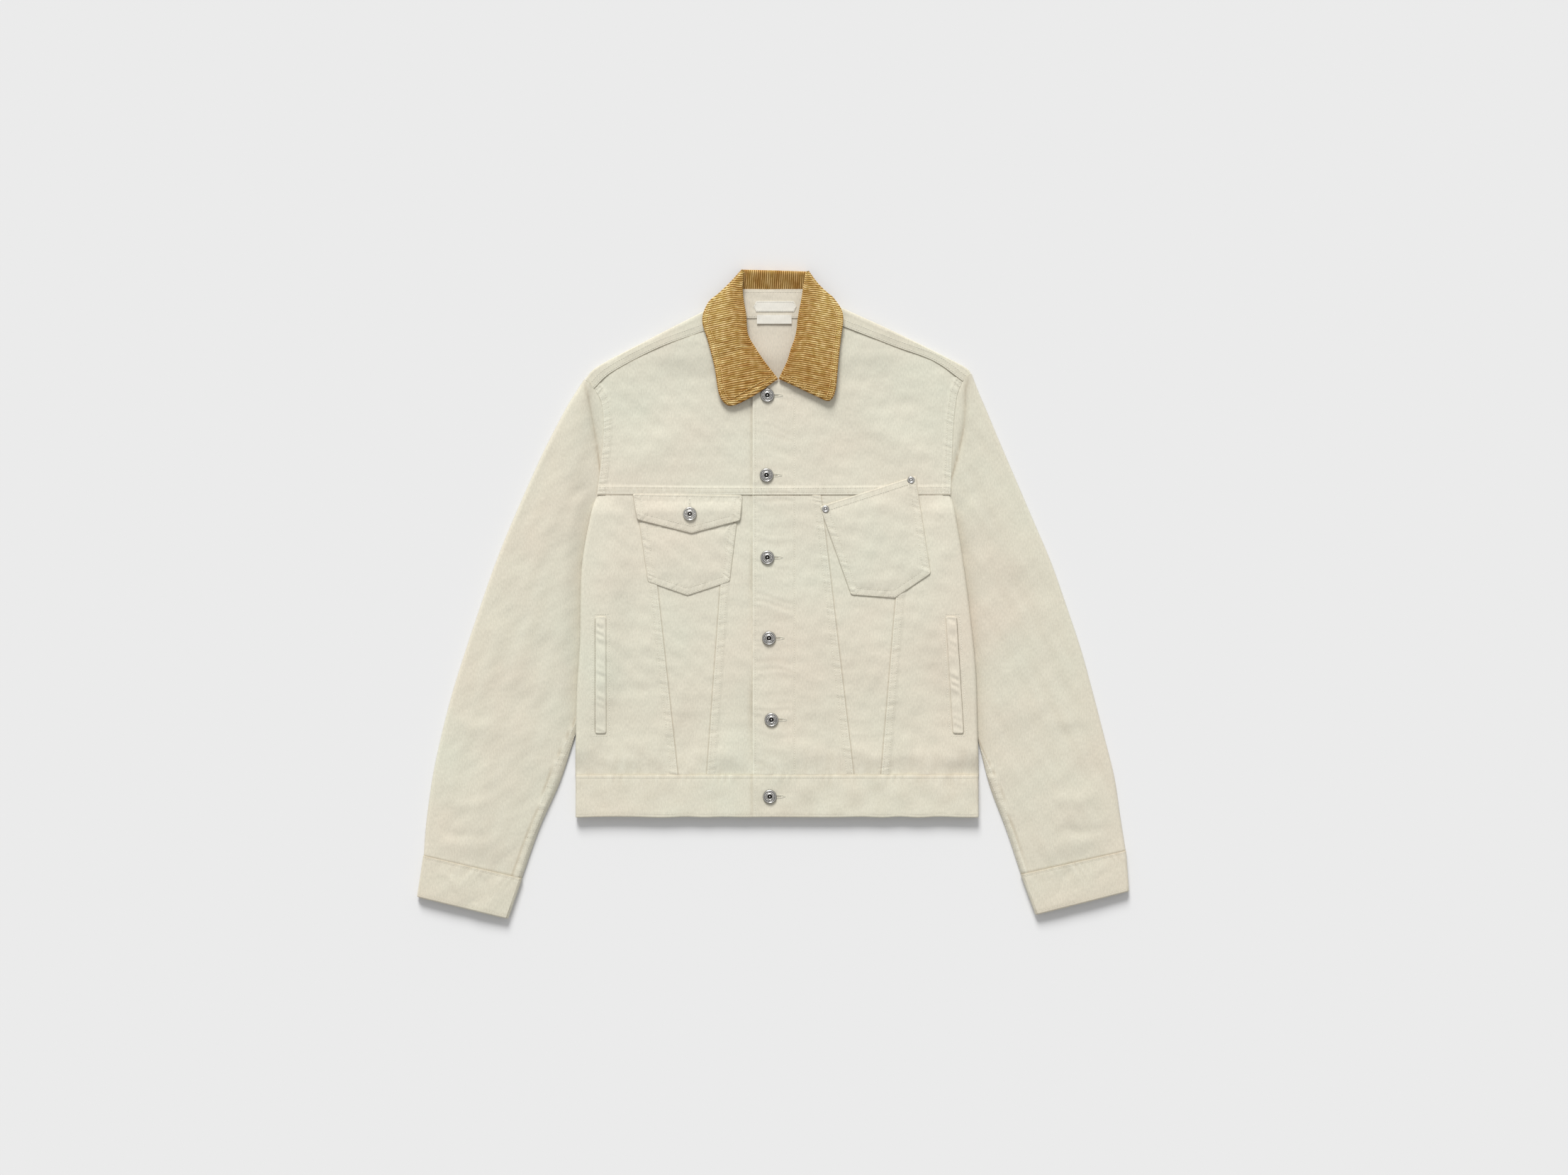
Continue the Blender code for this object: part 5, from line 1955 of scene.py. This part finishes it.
        # Painted highlight on the puffed strip between the needle rows, painted shade in the inner row and
        # right at the edge.
        dye = dye + 0.5 * hill(rim - 4.5, 1.8) - 0.5 * hill(rim - 7.2, 1.0)
        dye = dye - 0.5 * hill(rim, 0.8)
        if sign < 0:
            grid, grain, rise, dye = (item[:, ::-1] for item in (grid, grain, rise, dye))
        name = "collar_leaf_" + pattern.side.word
        thing = jacket.add(name, grid, CORD * 0.8, ["front_yoke_" + pattern.side.word],
                           jacket.finishes.corduroy, "ochre_corduroy", grain, rise, shade=dye)
        outer = np.array([(row[4], row[5]) for row in line])
        hand = -1 if sign < 0 else 1
        foot = curve([tuple(outer[0]), ((outer[0][0] + line[0][2]) / 2, (outer[0][1] + line[0][3]) / 2),
                      (line[0][2], line[0][3])], 12)
        for row in (1.8, 7.2):
            side_row = beside(outer, hand * row)
            side_row = side_row[(side_row[:, 1] < 356) & (near(foot, *side_row.T)[1] >= 0)][6:]
            jacket.gold.sew(side_row, [thing], pitch=3.3, length=2.5)
            jacket.gold.sew(beside(foot, -hand * row)[4:], [thing], pitch=3.3, length=2.5)


@dataclass
class Neck:
    """Patch inside the back neck, and two bare labels."""

    jacket: Jacket

    def build(self) -> None:
        """Build and sew the patch and the labels."""
        lay, jacket = self.jacket.lay, self.jacket

        def patch(name: str, outline: Callable[[Array], tuple[Array, Array]], high: float,
                  low: float, above: float, finish: Material, slot: str,
                  rests: Sequence[str], thickness: float) -> Thing:
            y = np.linspace(high, low, 24)
            left, right = outline(y)
            x = left[:, None] + (right - left)[:, None] * np.linspace(0, 1, 48)[None]
            yy = y[:, None] + 0 * x
            z = lay.bed(x, yy) + TWILL + above + 0.12 * rumple(x, yy, 14, 81)
            return jacket.add(name, np.stack([x, yy, z], axis=-1), thickness, rests, finish, slot)

        def straight(a: float, b: float) -> Callable[[Array], tuple[Array, Array]]:
            return lambda y: (np.full_like(y, a), np.full_like(y, b))

        patch("neck_patch", straight(-40, 39), NECK_Y, 342, 0.6, jacket.finishes.inside,
              "cream_twill", ["back_yoke"], TWILL * 0.8)

        def six(y: Array) -> tuple[Array, Array]:
            share = 1 - np.abs(y - 356.5) / 6.5
            return -21 - 3 * share, 26 + 3 * share
        patch("neck_label", six, 363, 350, 1.5, jacket.finishes.label, "label_tape",
              ["neck_patch"], TAPE)
        patch("care_label", straight(-20, 23), 346, 335, 1.5, jacket.finishes.label, "label_tape",
              ["neck_patch"], TAPE)
        cloth = jacket.some("neck_patch", "back_yoke", "neck_label")
        for line in (chord((-40, 344.2), (39, 344.2)), chord((-38, 374.5), (37, 374.5))):
            jacket.cloth.sew(line, cloth)
        hexagon = np.array([(-20, 362), (25, 362), (28, 356.5), (25, 351), (-20, 351), (-23, 356.5),
                            (-20, 362)], float)
        jacket.cloth.sew(hexagon, cloth, pitch=2.4, length=1.8)


@dataclass
class Patch:
    """A piece sewn on a front: pocket, flap or welt."""

    jacket: Jacket
    name: str
    side: Side
    top: tuple[Point, ...]
    foot: tuple[Point, ...]
    left: tuple[Point, ...]
    right: tuple[Point, ...]
    above: float
    puff: float
    rests_on: tuple[str, ...]
    flare: tuple[float, float, float] | None = None
    pucker: float = 0.36
    seed: float = 1.0
    narrow: bool = False
    corner: float = 3.0

    def build(self) -> Thing:
        """Build the piece on the front's surface."""
        top, foot = np.array(self.top, float), np.array(self.foot, float)
        left, right = np.array(self.left, float), np.array(self.right, float)
        wide, deep = reach(top)[-1], reach(left)[-1]
        close = (0, 0.3, 0.7, 1.3, 2.1, 2.9, 3.9, 5.2, 6.6, 7.8, 8.8, 9.8, 11.2, 13)
        narrow = [d for d in close if d < wide / 2 - 0.6]
        short = [d for d in close if d < deep / 2 - 1.2]
        u = graded(wide, narrow, 2.0) / wide
        v = graded(deep, short, 2.0) / deep
        plan = coons(top, foot, left, right, u, v)
        x, y = plan[..., 0], plan[..., 1]
        outline = np.vstack([top, right[1:], foot[::-1][1:], left[::-1][1:]])
        away, place = near(outline, x, y)
        away = np.abs(away)
        z = self.jacket.lay.front(self.side)(x, y) + self.above
        z = z + self.puff * smooth(2, 22, away)
        if self.narrow:
            z = z + self.pucker * ripple(y + 0.5 * x, 13, self.seed) * smooth(0, 4, away)
        else:
            wave = ripple(place + 0.6 * away, 7.4, self.seed)
            z = z + self.pucker * wave * hill(away - 5, 5)
            z = z + 0.28 * rumple(x, y, 44, int(90 + self.seed)) * smooth(4, 18, away)
            for row in TWIN_ROWS:
                z = z - PULL * hill(away - row, 0.8)
        z = z - 0.75 * (1 - fold(away, 1.3))
        if self.flare is not None:
            start, end, height = self.flare
            z = z + height * smooth(start, end, y)
        # Painted shade at the edge and in the needle rows, painted light and shade on the puckers.
        dye = -0.7 * hill(away, 0.7)
        if not self.narrow:
            dye = dye + sum(-0.2 * hill(away - row, 0.8) for row in TWIN_ROWS)
            dye = dye + 0.2 * wave * hill(away - 5, 4)
        flat = np.stack([x, y], axis=-1)
        corners = ((top, left), (top[::-1], right), (foot, left[::-1]), (foot[::-1], right[::-1]))
        for one, other in corners:
            flat = round_corner(flat, one[0], one[1], other[1], self.corner)
        grid = np.concatenate([flat, z[..., None]], axis=-1)
        return self.jacket.add(self.name, grid, TWILL * 0.9, self.rests_on, shade=dye)


@dataclass
class Pockets:
    """Flapped pocket, slanted pocket and the welts of the hand pockets."""

    jacket: Jacket

    def build(self) -> None:
        """Build and sew every pocket."""
        jacket = self.jacket
        chest = Patch(jacket, "pocket_left", Side.LEFT, ((-166, 91), (-106, 90), (-45, 88)),
                      ((-155, 15), (-106, -2), (-54, 15)), ((-166, 91), (-155, 15)),
                      ((-45, 88), (-54, 15)), 1.4, 0.9, ("front_middle_left", "front_side_left",
                                                         "front_centre_left"), seed=1.0).build()
        flap = Patch(jacket, "flap_left", Side.LEFT, ((-174, 124), (-106, 123.4), (-38, 122)),
                     ((-168, 92), (-101, 75), (-41, 91)), ((-174, 124), (-168, 92)),
                     ((-38, 122), (-41, 91)), 1.5, 0.9, ("pocket_left",), (120, 100, 1.9),
                     seed=2.0).build()
        slant = Patch(jacket, "pocket_right", Side.RIGHT, ((58, 108), (118, 127), (177, 146)),
                      ((97, -1), (151, -5), (195, 25)), ((58, 108), (97, -1)),
                      ((177, 146), (180, 123), (195, 25)), 1.7, 1.0,
                      ("front_middle_right", "front_yoke_right"), seed=3.0).build()
        self._rows([chest], [(-166, 91), (-155, 15), (-106, -2), (-54, 15), (-45, 88)], TWIN_ROWS)
        self._rows([flap], [(-174, 124), (-168, 92), (-101, 75), (-41, 91), (-38, 122)], TWIN_ROWS)
        self._rows([flap], [(-38, 122), (-174, 124)], (2.0,))
        self._rows([slant], [(58, 108), (97, -1), (151, -5), (195, 25), (180, 123), (177, 146)],
                   TWIN_ROWS)
        self._rows([slant], [(177, 146), (58, 108)], (7.0,))
        for pattern in (LEFT, RIGHT):
            self._welt(pattern)

    def _rows(self, cloth: Sequence[Thing], corners: Sequence[Point],
              offsets: Sequence[float]) -> None:
        """Sew rows inside a line of corners, which runs with the piece on its left hand."""
        for offset in offsets:
            line = inset(corners, offset)
            for a, b in zip(line, line[1:]):
                self.jacket.cloth.sew(chord(a, b), cloth)

    def _welt(self, pattern: SidePattern) -> None:
        """Narrow welt, with a stitched frame and a dark line of thread at its outer side, painted as the
        shadow in the slit.
        """
        (high, low), side = pattern.welt, pattern.side
        sign, top, foot = side.value, -28.0, -173.0
        a, b, c, d = (high, top), (high + 13, top), (low + 13, foot), (low, foot)
        welt = Patch(self.jacket, "welt_" + side.word, side, (a, (high + 6.5, top), b),
                     (d, (low + 6.5, foot), c), (a, d), (b, c), 1.5, 1.1,
                     ("front_side_" + side.word,), pucker=0.5, seed=5.0 + sign,
                     narrow=True).build()
        frame_line = [(high - 3.5, top + 3), (low - 3.5, foot - 3), (low + 17, foot - 3),
                      (high + 17, top + 3), (high - 3.5, top + 3)]
        cloth = [welt] + self.jacket.some("front_side_" + side.word)
        for p, q in zip(frame_line, frame_line[1:]):
            self.jacket.cloth.sew(chord(p, q), cloth)
        # Dark threads along the slit stand in for its shadow.
        x_top, x_low = (high, low) if sign < 0 else (high + 13, low + 13)
        slit = Threads("slit_" + side.word, self.jacket.finishes.shadow, "cream_twill", 0.38)
        line = chord((x_top + sign * 0.4, top - 2), (x_low + sign * 0.4, foot + 2))
        slit.sew(line, cloth, pitch=3.0, length=3.2)
        slit.build()


@dataclass
class Fastenings:
    """Metal buttons, their buttonholes and two rivets."""

    jacket: Jacket
    radius: float = 8.5
    places: tuple[Point, ...] = ((-7, 246), (-8, 147), (-7, 45), (-5, -55), (-2, -156), (-4, -251))
    flap_place: Point = (-103, 99)
    rivets: tuple[Point, ...] = ((65, 105), (171, 141))

    def build(self) -> None:
        """Build the buttons, the rivets and the buttonholes."""
        jacket = self.jacket
        fronts = jacket.some("front_yoke_right", "front_centre_right", "waistband")
        for index, place in enumerate(self.places, 1):
            self._hole(place, (1, 0), fronts)
            self._button(f"button_{index}", place, fronts, jacket.finishes.button)
        flap = jacket.some("flap_left")
        self._hole(self.flap_place, (0, 1), flap)
        self._button("flap_button", self.flap_place, flap, jacket.finishes.flap_button)
        pocket = jacket.some("pocket_right")
        for name, place in zip(("rivet_lower", "rivet_upper"), self.rivets):
            self._rivet(name, place, pocket)

    def _seat(self, place: Point, radius: float, cloth: Sequence[Thing]) -> float:
        """Height of the cloth under a round piece."""
        trees = [tree_of(piece) for piece in cloth]
        around = [np.array(place)] + [np.array(place) + radius * np.array([math.cos(t), math.sin(t)])
                                      for t in np.linspace(0, 2 * math.pi, 9)[:-1]]
        found = [drop(trees, point) for point in around]
        return float(np.mean([spot[2] for spot in found if spot is not None]))

    @staticmethod
    def _turned(profile: Sequence[Point], segments: int) -> tuple[Array, Array]:
        """Turn a profile of radius and height round the Z axis.

        Args:
            profile: from the top near the axis to the foot near the axis.
            segments: steps round.

        Returns:
            Points and four-sided faces.
        """
        turn = np.linspace(0, 2 * math.pi, segments, endpoint=False)
        rings = [np.column_stack([r * np.cos(turn), r * np.sin(turn), np.full(segments, h)])
                 for r, h in profile]
        count = len(profile)
        faces = []
        for i in range(count):
            a, b = i * segments, ((i + 1) % count) * segments
            for k in range(segments):
                n = (k + 1) % segments
                faces.append((a + k, b + k, b + n, a + n))
        return np.vstack(rings), np.array(faces)

    def _button(self, name: str, place: Point, cloth: Sequence[Thing],
                finish: Material) -> None:
        """One button with a ring of beads round a sunken middle."""
        r = self.radius
        profile = [(0.02, 2.6), (0.6, 2.55), (1.0, 2.2), (1.3, 1.3), (2.4, 1.2), (2.75, 2.2),
                   (3.1, 2.75), (3.6, 2.85), (4.0, 2.6), (4.3, 2.25), (6.5, 2.15), (6.8, 2.6),
                   (7.2, 2.9), (7.7, 2.75), (r - 0.35, 2.2), (r, 1.5), (r - 0.1, 1.0),
                   (r - 0.8, 0.6), (3.4, 0.0), (0.02, 0.0)]
        points, faces = self._turned(profile, 64)
        beads, bead_faces = self._turned([(0.02, 0.72), (0.38, 0.6), (0.62, 0.3), (0.7, 0.0),
                                                (0.02, -0.1)], 8)
        blocks, quads, start = [points], [faces], len(points)
        for turn in np.linspace(0, 2 * math.pi, 19, endpoint=False):
            blocks.append(beads + np.array([5.4 * math.cos(turn), 5.4 * math.sin(turn), 2.2]))
            quads.append(bead_faces + start)
            start += len(beads)
        self._put(name, np.vstack(blocks), np.vstack(quads), place, self._seat(place, r, cloth),
                  finish)

    def _rivet(self, name: str, place: Point, cloth: Sequence[Thing]) -> None:
        """Small rivet with a dished face."""
        profile = [(0.02, 1.3), (0.8, 1.25), (1.1, 1.0), (1.3, 0.7), (2.0, 0.75), (2.5, 1.15),
                   (3.2, 1.3), (3.9, 1.05), (4.4, 0.5), (4.5, 0.1), (4.2, 0.0), (0.02, 0.0)]
        points, faces = self._turned(profile, 40)
        self._put(name, points, faces, place, self._seat(place, 4.5, cloth),
                  self.jacket.finishes.bright)

    def _put(self, name: str, points: Array, faces: Array, place: Point, seat: float,
             finish: Material) -> None:
        """Put a turned piece on its seat in place of its node."""
        thing = make_mesh(name + "_metal", points, faces, sharp=55)
        thing.location = (place[0] * MM, place[1] * MM, (seat - 0.1) * MM)
        thing.data.materials.append(finish)
        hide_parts(name)
        LOG.info("%s: %d faces of metal", name, len(thing.data.polygons))

    def _hole(self, place: Point, way: Point, cloth: Sequence[Thing]) -> None:
        """Buttonhole: two close rows of stitches with dark threads between, painted as the shadow in the
        slit.
        """
        run, side = np.array(way, float), np.array([-way[1], way[0]], float)
        start, end = np.array(place) + 5 * run, np.array(place) + 19.5 * run
        for sign in (1, -1):
            inner, outer = start + side * 1.5 * sign, end + side * 0.25 * sign
            lip = np.array([inner, (inner + outer) / 2 + side * 0.5 * sign, outer])
            self.jacket.cloth.sew(curve([tuple(p) for p in lip], 6), cloth, pitch=1.3, length=1.5)
            lip = lip + side * 0.55 * sign
            self.jacket.cloth.sew(curve([tuple(p) for p in lip], 6), cloth, pitch=1.3, length=1.5)
        # Dark threads in the slit stand in for its shadow.
        slit = Threads(f"slit_{place[0]:.0f}_{place[1]:.0f}".replace("-", "m"),
                       self.jacket.finishes.shadow, "cream_twill", 0.3)
        slit.sew(np.array([start, start + 0.62 * (end - start)]), cloth, pitch=2.2, length=2.5)
        slit.build()


@dataclass
class Studio:
    """Pale floor, soft light and the camera straight above; sizes in metres."""

    width: float = 1.9466
    distance: float = 3.785
    floor_half: float = 20.0
    floor_level: float = -0.0003
    floor_tone: float = 0.80
    room_light: float = 0.49
    sun_power: float = 3.3
    sun_spread: float = 24.0
    sun_turn: tuple[float, float, float] = (-58.5, 0.0, 8.0)
    centre: tuple[float, float] = (0.0136, 0.0079)
    film: float = 36.0

    def build(self) -> None:
        """Build the floor, the light and the camera."""
        scene = bpy.context.scene
        half, level = self.floor_half, self.floor_level
        corners = [(-half, -half, level), (half, -half, level), (half, half, level),
                   (-half, half, level)]
        mesh = bpy.data.meshes.new("floor")
        mesh.from_pydata(corners, [], [(0, 1, 2, 3)])
        floor = bpy.data.objects.new("floor", mesh)
        material, _, shader = start_material("pale_floor", 0.95)
        shader.inputs["Base Color"].default_value = (*[self.floor_tone] * 3, 1)
        shader.inputs["Specular IOR Level"].default_value = 0.0
        mesh.materials.append(material)
        scene.collection.objects.link(floor)
        world = bpy.data.worlds.new("soft_room")
        world.use_nodes = True
        sky = world.node_tree.nodes["Background"]
        sky.inputs["Color"].default_value = (1, 1, 1, 1)
        sky.inputs["Strength"].default_value = self.room_light
        scene.world = world
        lamp = bpy.data.lights.new("window", "SUN")
        lamp.energy = self.sun_power
        lamp.angle = math.radians(self.sun_spread)
        light = bpy.data.objects.new("window", lamp)
        light.rotation_euler = [math.radians(turn) for turn in self.sun_turn]
        scene.collection.objects.link(light)
        view = bpy.data.cameras.new("above")
        view.sensor_width = self.film
        view.lens = self.film * self.distance / self.width
        camera = bpy.data.objects.new("above", view)
        camera.location = (*self.centre, self.distance)
        scene.collection.objects.link(camera)
        scene.camera = camera
        scene.view_settings.view_transform = "Standard"


def main() -> None:
    """Build the studio and every part of the jacket, in the order that they are laid."""
    logging.basicConfig(level=logging.INFO, format="%(message)s")
    Studio().build()
    jacket = Jacket(Finishes(Shaders()))
    Back(jacket).build()
    for pattern in (LEFT, RIGHT):
        Sleeve(jacket, pattern).build()
        Front(jacket, pattern).build()
    Waistband(jacket).build()
    Pockets(jacket).build()
    Neck(jacket).build()
    Collar(jacket).build()
    Fastenings(jacket).build()
    for threads in (jacket.cloth, jacket.gold):
        LOG.info("%s: %d stitches", threads.name, len(threads.ends))
        threads.build()
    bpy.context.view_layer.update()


if __name__ == "__main__":
    main()
